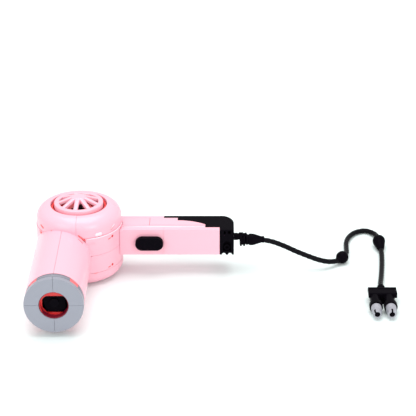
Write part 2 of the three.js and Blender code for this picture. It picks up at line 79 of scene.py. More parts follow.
HAIR = 0.02  # what is left of a joint on each side of its middle
WALL = 3.2  # wall thickness, one plate
DRUM_R = box_mm("wall_rear_upper")[1][0]
DOME_R = DRUM_R - 0.4  # the dome stands a little behind the wall
MOUTH_R = box_mm("base_plate")[1][0] + 0.2
BARREL_LO, BARREL_HI = box_mm("barrel_shell_top_left")[0], box_mm("barrel_shell_top_right")[1]
BARREL_R = (BARREL_HI[0] - BARREL_LO[0]) / 2
BARREL_X = (BARREL_HI[0] + BARREL_LO[0]) / 2
BARREL_Z = BARREL_HI[2] - BARREL_R
SHELL_Y = BARREL_LO[1]
NOZZLE_Y = box_mm("nozzle_tile_top_left")[0][1]
FLANGE_Y = box_mm("nozzle_tile_top_left")[1][1]
print("drum radius", round(DRUM_R, 2), "barrel radius", round(BARREL_R, 2), "nozzle at", round(NOZZLE_Y, 1))


# %% [markdown]
# The camera and the cord come before the bricks. The camera looks down on the toy from about a metre
# away with a long lens, so the bricks show almost no perspective. A camera could be aimed by hand or by
# a constraint. Three turns are plainer, and they give the same view each time: how far it looks down,
# how far it looks aside and how far it leans.

# %% Camera
LENS_RATIO = 3.9703  # focal length over the width of the picture
SENSOR = 36.0
LOOK_DOWN, LOOK_ASIDE, LEAN = math.radians(25.128), math.radians(0.411), math.radians(-0.197)
CAMERA_SPOT = (0.07939, -0.84839, 0.43666)
camera_data = bpy.data.cameras.new("camera")
camera_data.sensor_width = SENSOR
camera_data.lens = LENS_RATIO * SENSOR
camera_data.clip_start, camera_data.clip_end = 0.05, 20
camera = bpy.data.objects.new("camera", camera_data)
camera.matrix_world = (
    Matrix.Translation(CAMERA_SPOT)
    @ Matrix.Rotation(LOOK_ASIDE, 4, "Z")
    @ Matrix.Rotation(math.pi / 2 - LOOK_DOWN, 4, "X")
    @ Matrix.Rotation(LEAN, 4, "Z")
)
bpy.context.scene.collection.objects.link(camera)
bpy.context.scene.camera = camera
print("lens", round(camera_data.lens, 1), "mm")


# %% [markdown]
# ## Finishes
# The bricks are injection-moulded plastic. Close up, such a surface isn't a flat colour: it has a very
# fine orange-peel waviness, hairline scuffs from handling, and edges that are polished a little paler.
# The nodes for this could be copied into each material. Four node groups make the effects once instead,
# so a change reaches every plastic, and each plastic uses the groups with its own values.

# %% Node helpers
def new_group(name, inputs, outputs):
    """An empty shader node group with named float or colour sockets."""
    tree = bpy.data.node_groups.new(name, "ShaderNodeTree")
    for label, kind, value in inputs:
        socket = tree.interface.new_socket(label, in_out="INPUT", socket_type=kind)
        socket.default_value = value
    for label, kind in outputs:
        tree.interface.new_socket(label, in_out="OUTPUT", socket_type=kind)
    return tree, tree.nodes.new("NodeGroupInput"), tree.nodes.new("NodeGroupOutput")


def math_node(tree, operation, a, b):
    """A Math node that joins two sockets, or a socket and a number."""
    node = tree.nodes.new("ShaderNodeMath")
    node.operation = operation
    for slot, value in zip(node.inputs, (a, b)):
        if isinstance(value, (int, float)):
            slot.default_value = value
        else:
            tree.links.new(value, slot)
    return node.outputs[0]


def noise(tree, scale, detail=2.0, stretch=(1, 1, 1)):
    """A Noise texture on Object coordinates, stretched by a Mapping node."""
    place = tree.nodes.new("ShaderNodeTexCoord")
    mapping = tree.nodes.new("ShaderNodeMapping")
    mapping.inputs["Scale"].default_value = stretch
    texture = tree.nodes.new("ShaderNodeTexNoise")
    texture.inputs["Scale"].default_value = scale
    texture.inputs["Detail"].default_value = detail
    tree.links.new(place.outputs["Object"], mapping.inputs["Vector"])
    tree.links.new(mapping.outputs["Vector"], texture.inputs["Vector"])
    return texture.outputs["Fac"]


def ramp(tree, value, low, high):
    """A mask that goes from 0 at low to 1 at high."""
    node = tree.nodes.new("ShaderNodeMapRange")
    node.interpolation_type = "SMOOTHSTEP"
    node.inputs["From Min"].default_value = low
    node.inputs["From Max"].default_value = high
    tree.links.new(value, node.inputs["Value"])
    return node.outputs["Result"]


# %% [markdown]
# The first group is the moulded skin. Its height is a slow waviness, as thin plastic walls sink a
# little when they cool, plus a fine grain. The second group draws scuffs: noise stretched a hundred
# times in one direction makes hairlines, and a larger noise leaves them only in patches.

# %% Moulded skin and scuffs
FLOAT, COLOUR = "NodeSocketFloat", "NodeSocketColor"
SINK_SCALE, GRAIN_SCALE = 90.0, 2600.0  # about as many waves and grains to a metre
HAIRLINE_SCALE, PATCH_SCALE = 60.0, 70.0


def build_skin():
    """Height = waviness * slow noise + grain * fast noise."""
    inputs = [("Waviness", FLOAT, 0.7), ("Grain", FLOAT, 0.3)]
    tree, entry, leave = new_group("moulded_skin", inputs, [("Height", FLOAT)])
    slow = math_node(tree, "MULTIPLY", noise(tree, SINK_SCALE, 1.0), entry.outputs["Waviness"])
    fast = math_node(tree, "MULTIPLY", noise(tree, GRAIN_SCALE, 3.0), entry.outputs["Grain"])
    tree.links.new(math_node(tree, "ADD", slow, fast), leave.inputs["Height"])
    return tree


def build_scuffs():
    """Mask = hairlines in two directions, kept only where a patchy noise is high."""
    inputs = [("Amount", FLOAT, 0.5)]
    tree, entry, leave = new_group("scuffs", inputs, [("Mask", FLOAT)])
    along = ramp(tree, noise(tree, HAIRLINE_SCALE, 4.0, (1, 30, 12)), 0.62, 0.7)
    across = ramp(tree, noise(tree, HAIRLINE_SCALE, 4.0, (26, 1.5, 9)), 0.64, 0.72)
    patches = ramp(tree, noise(tree, PATCH_SCALE, 2.0), 0.45, 0.62)
    lines = math_node(tree, "MAXIMUM", along, across)
    kept = math_node(tree, "MULTIPLY", lines, patches)
    tree.links.new(math_node(tree, "MULTIPLY", kept, entry.outputs["Amount"]), leave.inputs["Mask"])
    return tree


SKIN, SCUFFS = build_skin(), build_scuffs()
print("groups:", SKIN.name, SCUFFS.name)


# %% [markdown]
# The third group finds edges. A Bevel node looks a short way round each point and averages the
# normals there. Where that average turns away from the true normal, an edge is near, so one minus
# their dot product is a mask. Painting the edges by hand would look as good, but would have to be done
# again for each brick. The fourth group varies the colour with a very slow noise, because two mouldings
# never match, and makes it paler where the third group finds an edge.

# %% Edge wear and shade variation
EDGE_REACH = 0.0003  # an edge shows wear this far from it, in metres
PATCHY_WEAR_SCALE, SHADE_SCALE = 240.0, 28.0


def build_edges():
    """Worn = how far the rounded normal turns away from the true one, broken up by noise."""
    tree, entry, leave = new_group("edges", [("Reach", FLOAT, EDGE_REACH)], [("Worn", FLOAT)])
    rounded = tree.nodes.new("ShaderNodeBevel")
    rounded.samples = 4
    tree.links.new(entry.outputs["Reach"], rounded.inputs["Radius"])
    true_normal = tree.nodes.new("ShaderNodeNewGeometry").outputs["Normal"]
    dot = tree.nodes.new("ShaderNodeVectorMath")
    dot.operation = "DOT_PRODUCT"
    tree.links.new(rounded.outputs["Normal"], dot.inputs[0])
    tree.links.new(true_normal, dot.inputs[1])
    turned_away = math_node(tree, "SUBTRACT", 1.0, dot.outputs["Value"])
    patchy = ramp(tree, noise(tree, PATCHY_WEAR_SCALE, 3.0), 0.3, 0.65)
    worn = math_node(tree, "MULTIPLY", ramp(tree, turned_away, 0.02, 0.2), patchy)
    tree.links.new(worn, leave.inputs["Worn"])
    return tree


def build_shade():
    """Colour = the base colour, slowly varied towards a deeper one, and paler where worn."""
    inputs = [
        ("Base", COLOUR, (1, 1, 1, 1)),
        ("Deep", COLOUR, (1, 1, 1, 1)),
        ("Pale", COLOUR, (1, 1, 1, 1)),
        ("Worn", FLOAT, 0.0),
        ("Variation", FLOAT, 0.2),
    ]
    tree, entry, leave = new_group("shade", inputs, [("Color", COLOUR)])

    def mix(factor, a, b):
        node = tree.nodes.new("ShaderNodeMix")
        node.data_type = "RGBA"
        tree.links.new(factor, node.inputs["Factor"])
        tree.links.new(a, node.inputs["A"])
        tree.links.new(b, node.inputs["B"])
        return node.outputs["Result"]

    slow = math_node(tree, "MULTIPLY", noise(tree, SHADE_SCALE, 1.5), entry.outputs["Variation"])
    varied = mix(slow, entry.outputs["Base"], entry.outputs["Deep"])
    worn = mix(entry.outputs["Worn"], varied, entry.outputs["Pale"])
    tree.links.new(worn, leave.inputs["Color"])
    return tree


EDGES, SHADE = build_edges(), build_shade()
print("groups:", EDGES.name, SHADE.name)


# %% [markdown]
# Every plastic is the same recipe with other numbers, so one function builds them all. The Principled
# shader stays in the material, and the groups only feed its colour, its roughness and its bump. Finger
# marks and scuffs roughen the skin in places, and the bump is no deeper than a hair's thickness.

# %% Plastics
GRAIN, VARIATION = 0.3, 0.25
PRINTS_SCALE, PRINTS, SCRATCHES = 45.0, 0.12, 0.25  # what prints and scuffs add to the roughness
PRINTS_MEAN = 0.06  # prints add this much on average, so it is taken off the base value
BUMP_STRENGTH, BUMP_DEPTH = 0.25, 0.00004
PLASTIC_IOR, COAT_ROUGH = 1.5, 0.12


def use_group(tree, group, **values):
    """Places a node group in a material, with its own values."""
    node = tree.nodes.new("ShaderNodeGroup")
    node.node_tree = group
    for label, value in values.items():
        node.inputs[label].default_value = value
    return node


def plastic(name, base, deep, pale, rough=0.25, scuff=0.4, wave=0.7, wear=0.5, specular=0.5, coat=0.0):
    """A moulded plastic: base colour, its deeper and paler shades, and how glossy and worn it is."""
    material = bpy.data.materials.new(name)
    material.use_nodes = True
    tree = material.node_tree
    shader = tree.nodes["Principled BSDF"]
    skin = use_group(tree, SKIN, Waviness=wave, Grain=GRAIN)
    scuffs = use_group(tree, SCUFFS, Amount=scuff)
    edges = use_group(tree, EDGES, Reach=EDGE_REACH)
    shade = use_group(tree, SHADE, Base=(*base, 1), Deep=(*deep, 1), Pale=(*pale, 1), Variation=VARIATION)
    tree.links.new(math_node(tree, "MULTIPLY", edges.outputs["Worn"], wear), shade.inputs["Worn"])
    tree.links.new(shade.outputs["Color"], shader.inputs["Base Color"])
    fingered = math_node(tree, "MULTIPLY", noise(tree, PRINTS_SCALE, 3.0), PRINTS)
    scratched = math_node(tree, "MULTIPLY", scuffs.outputs["Mask"], SCRATCHES)
    handled = math_node(tree, "ADD", fingered, scratched)
    tree.links.new(math_node(tree, "ADD", handled, rough - PRINTS_MEAN), shader.inputs["Roughness"])
    bump = tree.nodes.new("ShaderNodeBump")
    bump.inputs["Strength"].default_value = BUMP_STRENGTH
    bump.inputs["Distance"].default_value = BUMP_DEPTH
    height = math_node(tree, "SUBTRACT", skin.outputs["Height"], scuffs.outputs["Mask"])
    tree.links.new(height, bump.inputs["Height"])
    tree.links.new(bump.outputs["Normal"], shader.inputs["Normal"])
    shader.inputs["IOR"].default_value = PLASTIC_IOR
    shader.inputs["Specular IOR Level"].default_value = specular
    shader.inputs["Coat Weight"].default_value = coat
    shader.inputs["Coat Roughness"].default_value = COAT_ROUGH
    return material


BY_SLOT = {
    "pink_plastic": plastic(
        "pink_abs", (0.93, 0.475, 0.57), (0.90, 0.425, 0.515), (0.96, 0.66, 0.74), 0.3, coat=0.1
    ),
    "red_plastic": plastic("red_abs", (0.78, 0.03, 0.03), (0.6, 0.012, 0.02), (0.9, 0.12, 0.08), 0.3),
    "black_plastic": plastic(
        "black_abs", (0.004, 0.003, 0.005), (0.002, 0.002, 0.003), (0.02, 0.018, 0.022), 0.24, specular=0.01
    ),
    "light_grey_plastic": plastic(
        "light_grey_abs", (0.295, 0.30, 0.355), (0.26, 0.265, 0.315), (0.5, 0.52, 0.58), 0.34
    ),
    "dark_grey_plastic": plastic(
        "dark_grey_abs", (0.03, 0.03, 0.04), (0.02, 0.02, 0.03), (0.1, 0.1, 0.12), 0.34, specular=0.2
    ),
    "cord_hose": plastic(
        "hose_rubber", (0.005, 0.004, 0.006), (0.003, 0.003, 0.004), (0.02, 0.02, 0.024), 0.35, specular=0.06
    ),
}
# A darker red that paints the shade inside the bore, for the sleeve.
SHADED_RED = plastic("shaded_red_abs", (0.24, 0.007, 0.026), (0.15, 0.003, 0.02), (0.6, 0.05, 0.03), 0.3)
FLANGE_GREY = plastic("flange_grey_abs", (0.23, 0.235, 0.28), (0.12, 0.13, 0.16), (0.35, 0.36, 0.4), 0.34)
# Coral for the lugs and the slits; on the seat under the wheel it is a brighter red that paints light.
CORAL_AND_LIT_RED = plastic("coral_and_lit_red_abs", (0.88, 0.15, 0.16), (0.8, 0.10, 0.10), (0.95, 0.3, 0.28), 0.35)
# A near-white pink that paints highlights: the wall's top edge, the dome's tab and the rail's front edge.
PAINTED_HIGHLIGHT_PINK = plastic("painted_highlight_pink_abs", (0.97, 0.74, 0.82), (0.96, 0.7, 0.78), (1, 0.9, 0.95), 0.3)
# The pins' grey; its near-white edge colour and strong wear paint white highlights on the rims.
PIN_GREY_PAINTED_RIMS = plastic("pin_grey_painted_rims_abs", (0.33, 0.33, 0.37), (0.28, 0.28, 0.31), (0.85, 0.85, 0.9), 0.3, wear=0.9)
SLOT_OF = {part["node"]: part["material_slot"] for part in frame["record"]["subparts"]}
print("plastics:", sorted(BY_SLOT))


# %% [markdown]
# ## From a formula to a brick
# Every new surface below is a closed outline carried through a row of stations: an array of
# stations x points x 3. The same bricks could be pushed and pulled by hand from cubes, but a formula
# keeps them exact and easy to change. One helper turns such an array into a mesh, closes its ends, and
# turns its faces outwards. Another gives the mesh rounded edges, a finish and its place on a body.

# %% Surface helpers
def carried(stations, loop=False):
    """Points and faces from an array of closed outlines: quads between neighbours, a face on each end."""
    count, around = stations.shape[:2]
    rows = np.arange(count if loop else count - 1)[:, None]
    cols = np.arange(around)[None, :]
    after, beside = (rows + 1) % count, (cols + 1) % around
    corners = [rows * around + cols, rows * around + beside, after * around + beside, after * around + cols]
    faces = np.stack(corners, axis=-1).reshape(-1, 4).tolist()
    if not loop:
        faces += [list(range(around)), list(range((count - 1) * around, count * around))]
    return stations.reshape(-1, 3) * MM, faces


def make_mesh(name, *shells):
    """One mesh from one or more closed shells: doubles merged, poles closed, faces outwards."""
    points = np.vstack([shell[0] for shell in shells])
    starts = np.cumsum([0, *[len(shell[0]) for shell in shells[:-1]]])
    faces = [[k + start for k in face] for start, shell in zip(starts.tolist(), shells) for face in shell[1]]
    data = bpy.data.meshes.new(name)
    data.from_pydata(points.tolist(), [], faces)
    mesh = bmesh.new()
    mesh.from_mesh(data)
    bmesh.ops.remove_doubles(mesh, verts=mesh.verts, dist=2e-6)
    bmesh.ops.dissolve_degenerate(mesh, edges=mesh.edges, dist=1e-7)
    bmesh.ops.delete(mesh, geom=[e for e in mesh.edges if not e.link_faces], context="EDGES")
    bmesh.ops.recalc_face_normals(mesh, faces=mesh.faces)
    mesh.to_mesh(data)
    mesh.free()
    data.shade_smooth()
    return data


SHARP = math.radians(38)  # edges that turn by more than this are rounded


def place(node, *shells, name=None, slot=None, material=None, body="dryer", edge=0.22, steps=2):
    """Shows shells as a piece: rounds its sharp edges, gives it a finish and rides it on its body."""
    name, slot = name or f"moulded_{node}", slot or SLOT_OF[node]
    data = make_mesh(name, *shells)
    data.materials.append(material or BY_SLOT[slot])
    piece = bpy.data.objects.new(name, data)
    bpy.context.scene.collection.objects.link(piece)
    if edge:
        bevel = piece.modifiers.new("rounded_edges", "BEVEL")
        bevel.width = edge * MM
        bevel.segments = steps
        bevel.limit_method = "ANGLE"
        bevel.angle_limit = SHARP
        bevel.harden_normals = True
    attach(piece, body)
    if node:
        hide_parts(node)
    print(f"{name}: {len(data.polygons)} faces")
    return piece


# %% [markdown]
# Outlines come in three kinds. A slab is a flat outline carried straight. A turned shape is a profile
# of radius and distance carried round an axis. A pierced plate has real holes: its outlines are filled
# with triangles in one go, then carried back. A Boolean modifier could cut the holes as well, but it
# leaves thin slivers that spoil rounded edges. An arc gives the round stretches of all of them.

# %% Outlines
def slab(outline, low, high, axis="z"):
    """A flat outline carried straight from low to high, along z or along y."""
    flat = np.asarray(outline, float)
    level = np.ones((len(flat), 1))
    if axis == "z":
        rows = [np.hstack([flat, level * v]) for v in (low, high)]
    else:
        rows = [np.hstack([flat[:, :1], level * v, flat[:, 1:]]) for v in (low, high)]
    return carried(np.stack(rows))


def arc(centre, radii, start, end, count=16):
    """Points on an ellipse from one angle to another, in degrees."""
    a = np.radians(np.linspace(start, end, count))
    return np.stack([centre[0] + radii[0] * np.cos(a), centre[1] + radii[1] * np.sin(a)], axis=1)


def turned(profile, centre, axis, count=48):
    """A profile of (radius, distance) points turned all the way round an axis."""
    axis = np.asarray(axis, float) / np.linalg.norm(axis)
    side = np.cross(axis, [0.0, 0.0, 1.0] if abs(axis[2]) < 0.9 else [1.0, 0.0, 0.0])
    side /= np.linalg.norm(side)
    third = np.cross(axis, side)
    a = np.linspace(0, 2 * np.pi, count, endpoint=False)[:, None, None]
    r, d = np.asarray(profile, float).T[:, None, :, None]
    points = np.asarray(centre, float) + d * axis + r * (np.cos(a) * side + np.sin(a) * third)
    return carried(points, loop=True)


def pierced_plate(outlines, y0, y1):
    """Flat outlines in X and Z, the first with the others as holes in it, carried from y0 to y1."""
    mesh = bmesh.new()
    for outline in outlines:
        ring = [mesh.verts.new((x, y0, z)) for x, z in outline]
        for k, corner in enumerate(ring):
            mesh.edges.new((ring[k - 1], corner))
    bmesh.ops.triangle_fill(mesh, edges=mesh.edges[:], use_beauty=True)
    moved = bmesh.ops.extrude_face_region(mesh, geom=mesh.faces[:])["geom"]
    back = [v for v in moved if isinstance(v, bmesh.types.BMVert)]
    bmesh.ops.translate(mesh, verts=back, vec=(0, y1 - y0, 0))
    mesh.verts.index_update()
    points = np.array([v.co[:] for v in mesh.verts]) * MM
    faces = [[v.index for v in face.verts] for face in mesh.faces]
    mesh.free()
    return points, faces


# %% [markdown]
# ## The cord
# The toy's cord is three lengths of thin hose between two joining balls. A hose is a circle carried
# along a smooth curve through listed points, the same ones as in the CAD. Its skin is finely
# twisted: the radius ripples with the length and with the angle, so that the ridges run as a helix. A
# Bezier curve with a round bevel would make a plain tube, but it can't ripple, so the skin is worked out.

# %% Hose routes
CORD_D = 3.0
ROUTES = {
    "cord_first": [
        (105.3, 1.2, 17.9), (107.5, 1.2, 17.5), (111, 1.1, 16.6), (117, 0.5, 14.4), (124, -0.9, 11.6),
        (131, -1.7, 8.9), (137, -1.3, 6.4), (142, 0.3, 4.5), (146, 2.6, 3.4), (148.3, 4.4, 3),
    ],
    "cord_second": [
        (152.6, 10.6, 2.6), (154.2, 17, 2), (154.6, 24, 1.7), (155.2, 31.5, 1.7), (157.4, 38.6, 1.7),
        (161.6, 44.4, 1.7), (167.4, 46.6, 1.7), (172, 43, 1.9), (173.9, 37.6, 2.3), (174.2, 32.6, 2.8),
    ],
    "cord_third": [
        (174.7, 20.4, 2.2), (174.6, 14, 1.8), (174, 6, 1.7), (173, -4, 1.7), (171.8, -14, 1.8),
        (170.6, -23, 2.4), (170.2, -29, 3),
    ],
}


def smooth_route(points, count):
    """A centripetal Catmull-Rom curve through the points, sampled evenly along its length."""
    p = np.asarray(points, float)
    p = np.vstack([2 * p[0] - p[1], p, 2 * p[-1] - p[-2]])
    knots = np.concatenate([[0], np.cumsum(np.linalg.norm(np.diff(p, axis=0), axis=1) ** 0.5)])
    t = np.linspace(knots[1], knots[-2], 40 * len(points))
    k = np.clip(np.searchsorted(knots, t, side="right") - 1, 1, len(p) - 3)

    def blend(i, j, a, b):
        share = ((t - knots[i]) / (knots[j] - knots[i]))[:, None]
        return (1 - share) * a + share * b

    a1, a2, a3 = (blend(k + s - 1, k + s, p[k + s - 1], p[k + s]) for s in (0, 1, 2))
    b1, b2 = blend(k - 1, k + 1, a1, a2), blend(k, k + 2, a2, a3)
    line = blend(k, k + 1, b1, b2)
    along = np.concatenate([[0], np.cumsum(np.linalg.norm(np.diff(line, axis=0), axis=1))])
    even = np.linspace(0, along[-1], count)
    return np.stack([np.interp(even, along, line[:, c]) for c in range(3)], axis=1), along[-1]


# %% [markdown]
# A hose needs a direction, a side and an upward direction at each station. The hoses lie almost flat,
# so the side is square to the direction and to the vertical, and no circle turns against the next.

# %% Twisted hoses
TWIST = 1.6  # length along the hose from one ridge to the next
RIDGES = 4  # ridges side by side in the helix


def hose_surface(line, long, around=32):
    """Circles square to the line. Radius = 0.92 to 1 of the hose's, by a cosine of length and angle."""
    ahead = np.gradient(line, axis=0)
    ahead /= np.linalg.norm(ahead, axis=1)[:, None]
    side = np.cross(ahead, [0.0, 0.0, 1.0])
    side /= np.linalg.norm(side, axis=1)[:, None]
    up = np.cross(side, ahead)
    a = np.linspace(0, 2 * np.pi, around, endpoint=False)[None, :]
    turn = 2 * np.pi * np.linspace(0, long / TWIST, len(line))[:, None] / 2
    r = (CORD_D / 2 * (0.96 + 0.04 * np.cos(RIDGES * a + turn)))[..., None]
    a = a[..., None]
    return carried(line[:, None] + r * (np.cos(a) * side[:, None] + np.sin(a) * up[:, None]))


hoses = {}
for node, points in ROUTES.items():
    long = smooth_route(points, 200)[1]
    line, long = smooth_route(points, int(long / TWIST * 6))
    hose = place(node, hose_surface(line, long), name=f"hose_{node.split('_')[1]}", edge=0)
    hoses[node] = (hose, line, long)
    print(node, "is", round(long, 1), "mm long")


# %% [markdown]
# The fittings are all turned shapes. A joining ball has a step round its middle, where its halves
# meet, and a short sleeve for each hose. The second ball's sleeve is a cone. The boot is a bell with a
# band at each end, and the clip before it is a spool with a small bar on top.

# %% Joining balls
SLEEVE = CORD_D / 2 + 0.3


def ball(radius, centre, axis):
    """A sphere with a shallow groove round its middle."""
    body = arc((0, 0), (radius, radius), -90, 90, 26)
    body[12:14, 0] -= 0.25
    return turned(body, centre, axis, 40)


def sleeve(centre, end, start_r, end_r, start):
    """A tapered tube from inside a ball to a little past the end of a hose."""
    axis = np.asarray(end, float) - centre
    reach = np.linalg.norm(axis) + 0.45
    profile = [(0, start), (start_r, start), (end_r, reach - 0.3), (end_r - 0.2, reach), (0, reach)]
    return turned(profile, centre, axis, 32)


first_in, first_out = hoses["cord_first"][1][-1], hoses["cord_second"][1][0]
FIRST_CENTRE = np.array([151, 7.2, 3.8])
FIRST_BALL = place(
    "cord_ball_first",
    ball(3.65, FIRST_CENTRE, first_out - first_in),
    sleeve(FIRST_CENTRE, first_in, SLEEVE, SLEEVE, 2.0),
    sleeve(FIRST_CENTRE, first_out, SLEEVE, SLEEVE, 2.0),
    edge=0.1,
)
second_in, second_out = hoses["cord_second"][1][-1], hoses["cord_third"][1][0]
SECOND_CENTRE = np.array([174.1, 28.2, 3.85])
SECOND_BALL = place(
    "cord_ball_second",
    ball(3.75, SECOND_CENTRE, (0, -1, 0)),
    sleeve(SECOND_CENTRE, second_in, SLEEVE, SLEEVE, 2.0),
    sleeve(SECOND_CENTRE, second_out, 3.3, 1.8, 2.0),
    edge=0.1,
)


# %% [markdown]
# The boot keeps the hose from kinking where it leaves the toy. It could be a cone with a bevel, but its
# bands and its waist are what the eye knows it by, so its whole profile is written down.

# %% Boot and clip
lo, hi = box_mm("strain_boot")
BOOT_START = [lo[0] - 0.35, (lo[1] + hi[1]) / 2, (lo[2] + hi[2]) / 2]
BOOT_R = (hi[2] - lo[2]) / 2
boot_profile = [
    (0, 0), (2.9, 0), (3.2, 0.3), (3.2, 0.9), (2.85, 1.1), (2.85, 1.4), (3.25, 1.7), (BOOT_R, 2.7),
    (3.3, 4.1), (2.9, 5.6), (2.35, 7.2), (1.95, 8.6), (1.8, 9.3), (1.95, 9.5), (1.95, 10.2),
    (1.75, 10.45), (0, 10.45),
]
BOOT = place("strain_boot", turned(boot_profile, BOOT_START, (1, 0, 0), 48), edge=0.08)

lo, hi = box_mm("cord_clip")
mid_y = (lo[1] + hi[1]) / 2
spool_profile = [
    (0, 0.7), (2.1, 0.7), (3.35, 1.0), (3.35, 1.9), (2.6, 2.1), (2.6, 2.7), (3.3, 2.9), (3.3, 3.8),
    (2.2, 4.1), (2.2, 4.8), (0, 4.8),
]
bar_profile = [
    (0, 0), (1.2, 0), (1.5, 0.3), (1.5, 2.4), (1.1, 2.7), (1.1, 3.6), (1.35, 3.8), (1.35, 4.6), (0, 4.6),
]
stub_profile = [(0, -0.4), (1.9, -0.4), (1.9, 1.4), (0, 1.4)]
socket_lo, socket_hi = box_mm("cord_socket")
CLIP = place(
    "cord_clip",
    turned(spool_profile, (lo[0], mid_y, lo[2] + 3.4), (1, 0, 0), 32),
    turned(bar_profile, (lo[0] + 0.2, mid_y, hi[2] - 1.5), (1, 0, 0), 24),
    turned(stub_profile, (lo[0], mid_y, (socket_lo[2] + socket_hi[2]) / 2), (1, 0, 0), 24),
    edge=0.12,
)


# %% [markdown]
# The plug is a two-stud block with two black collars, and a hollow light grey pin in each. The pins are
# ridged tubes: their profile goes down the outside, round the tip and back up the bore. That makes
# them truly hollow, where a dark disc on the tip would look flat from the side. A black plug in each
# bore is painted shade, and so is a thin black slab that runs back from the tip for the pin's slot. The
# white on the pins' rims is a painted highlight, from their pale, strongly worn edges. The left pin sits
# a little turned.

# %% Plug
lo, hi = box_mm("plug_block")
PLUG_STEP, FOOT_IN = 3.7, 1.4  # the foot ends at this height, and is narrower on each side
back, front, top = hi[1], lo[1], hi[2] + 0.3
block_side = np.array([
    (front, PLUG_STEP), (back, PLUG_STEP), (back, top - 0.5), (back - 0.5, top), (back - 1.8, top),
    (back - 2.1, top - 0.4), (back - 3.6, top - 0.4), (back - 3.9, top), (front + 0.6, top),
    (front, top - 0.6),
])
foot_side = np.array([(front, lo[2]), (back, lo[2]), (back, PLUG_STEP + 0.5), (front, PLUG_STEP + 0.5)])


def across(side, x0, x1):
    """An outline in Y and Z, carried across from x0 to x1."""
    return carried(np.stack([np.column_stack([np.full(len(side), x), side]) for x in (x0, x1)]))


PLUG = place(
    "plug_block",
    across(block_side, lo[0], hi[0]),
    across(foot_side, lo[0] + FOOT_IN, hi[0] - FOOT_IN),
    edge=0.25,
)
lo, hi = box_mm("plug_neck")
neck_profile = [
    (0, -0.3), (1.75, -0.3), (2.1, 0), (2.1, 1.0), (1.8, 1.2), (1.8, 1.7), (2.5, 1.9), (2.5, 2.7), (2.1, 2.9),
    (2.1, 3.6), (2.6, 4.0), (2.6, hi[1] - lo[1] + 0.25), (0, hi[1] - lo[1] + 0.25),
]
NECK = place("plug_neck", turned(neck_profile, ((lo[0] + hi[0]) / 2, hi[1], 3.4), (0, -1, 0), 36), edge=0.08)


def collar_profile(r, long):
    """A collar with a slim tube behind and a thick ring with rounded edges in front."""
    tube, ring = r - 1.0, long - 3.6
    return [
        (0, -0.25), (tube, -0.25), (tube, ring - 0.3), (r - 0.4, ring), (r, ring + 0.4), (r, long - 0.4),
        (r - 0.4, long), (0, long),
    ]


def pin_profile(r, long):
    """A ridged stem, a narrower tip with a rim, and a bore as deep as half of the pin."""
    ridges = [(r - 0.2 * (k % 2), 0.1 + 0.55 * k) for k in range(7)]
    neck = [(r - 0.55, 3.7), (r - 0.75, long - 1.2)]
    tip = [(r - 0.55, long - 1.0), (r - 0.55, long - 0.3), (r - 0.8, long)]
    bore = [(1.6, long), (1.5, long - 0.3), (1.5, long * 0.45), (0, long * 0.45)]
    return [(0, -0.2), (r, -0.2), *ridges, *neck, *tip, *bore]


def pin_slot(centre, front, lean, back=2.4):
    """A thin black slab, the painted shade of the pin's slot: it stands on the bore and leans aside by an
    angle, from the tip's face backwards.
    """
    c, s = math.cos(math.radians(lean)), math.sin(math.radians(lean))
    flat = np.array([(-0.45, 1.1), (0.45, 1.1), (0.45, 2.4), (-0.45, 2.4)]) @ np.array([[c, s], [-s, c]])
    return slab(flat + [centre[0], centre[2]], front - 0.04, front + back, "y")


for hand, lean in (("left", 38), ("right", 0)):
    for part, profile in (("collar", collar_profile), ("pin", pin_profile)):
        lo, hi = box_mm(f"plug_{part}_{hand}")
        centre = ((lo[0] + hi[0]) / 2, hi[1], (lo[2] + hi[2]) / 2)
        shape = profile((hi[2] - lo[2]) / 2, hi[1] - lo[1])
        # The pins take the grey with painted highlights on their rims.
        finish = PIN_GREY_PAINTED_RIMS if part == "pin" else None
        shell = turned(shape, centre, (0, -1, 0), 40)
        place(f"plug_{part}_{hand}", shell, material=finish, edge=0.06)
    # Painted shade: a black plug in the bore and a black slab where the slot is.
    bore = turned([(0, 0), (1.52, 0), (1.52, 2), (0, 2)], (centre[0], lo[1] + 0.5, centre[2]), (0, 1, 0), 32)
    slit = pin_slot(centre, lo[1], lean)
    place(None, slit, bore, name=f"pin_bore_shade_{hand}", slot="black_plastic", edge=0)


# %% [markdown]
# For each hose, the kind of its far end is printed. The first leaves the handle's socket and carries the
# clip and the boot, the second runs from ball to ball, and the third ends in the plug.

def declare(node, far_end):
    """Prints a hose's name and the kind of its far end."""
    print(node, "ends in its", far_end)


declare("cord_first", "connector")
declare("cord_second", "connector")
declare("cord_third", "plug")


# %% [markdown]
# ## The drum
# The dome and the base are each four quarter pieces, with seams where they meet. A quarter is a profile
# carried through ninety degrees. The dome has a short upright skirt, then a quarter of an ellipse that
# leaves it upright and arrives at the round mouth almost flat. A scaled sphere is close to this, but
# its rings don't end on the skirt and the mouth, where the seams have to be.

# %% Heights round the drum
DOME_TOP = box_mm("dome_quarter_rear_right")[1][2]
WALL_TOP = between("wall_rear_upper", "dome_quarter_rear_right", 2)
COURSE_Z = between("wall_rear_lower", "wall_rear_upper", 2)
BASE_TOP = between("base_quarter_rear_right", "wall_rear_lower", 2)
SHOULDER_Z = DOME_TOP - 6.9
BASE_ROUND = 6.4
QUARTERS = {"rear_right": 0, "rear_left": 90, "front_left": 180, "front_right": 270}
print("heights:", [round(float(z), 2) for z in (BASE_TOP, COURSE_Z, WALL_TOP, DOME_TOP)])
HAIR_ANGLE = math.degrees(HAIR / DRUM_R)
TUCK = 0.5  # the drum's pieces reach this far under the barrel's shells, so that no gap shows


def hole_edge(x):
    """How far the barrel's round hole reaches above and below its axis, at a given x."""
    return np.sqrt(np.maximum((BARREL_R - TUCK) ** 2 - (x - BARREL_X) ** 2, 0))


# %% [markdown]
# The barrel enters the drum at the front, so the quarters there stop on a round hole. A Boolean cut
# would leave a ragged edge. Instead each station's lowest point is raised, or lowered, to the hole.

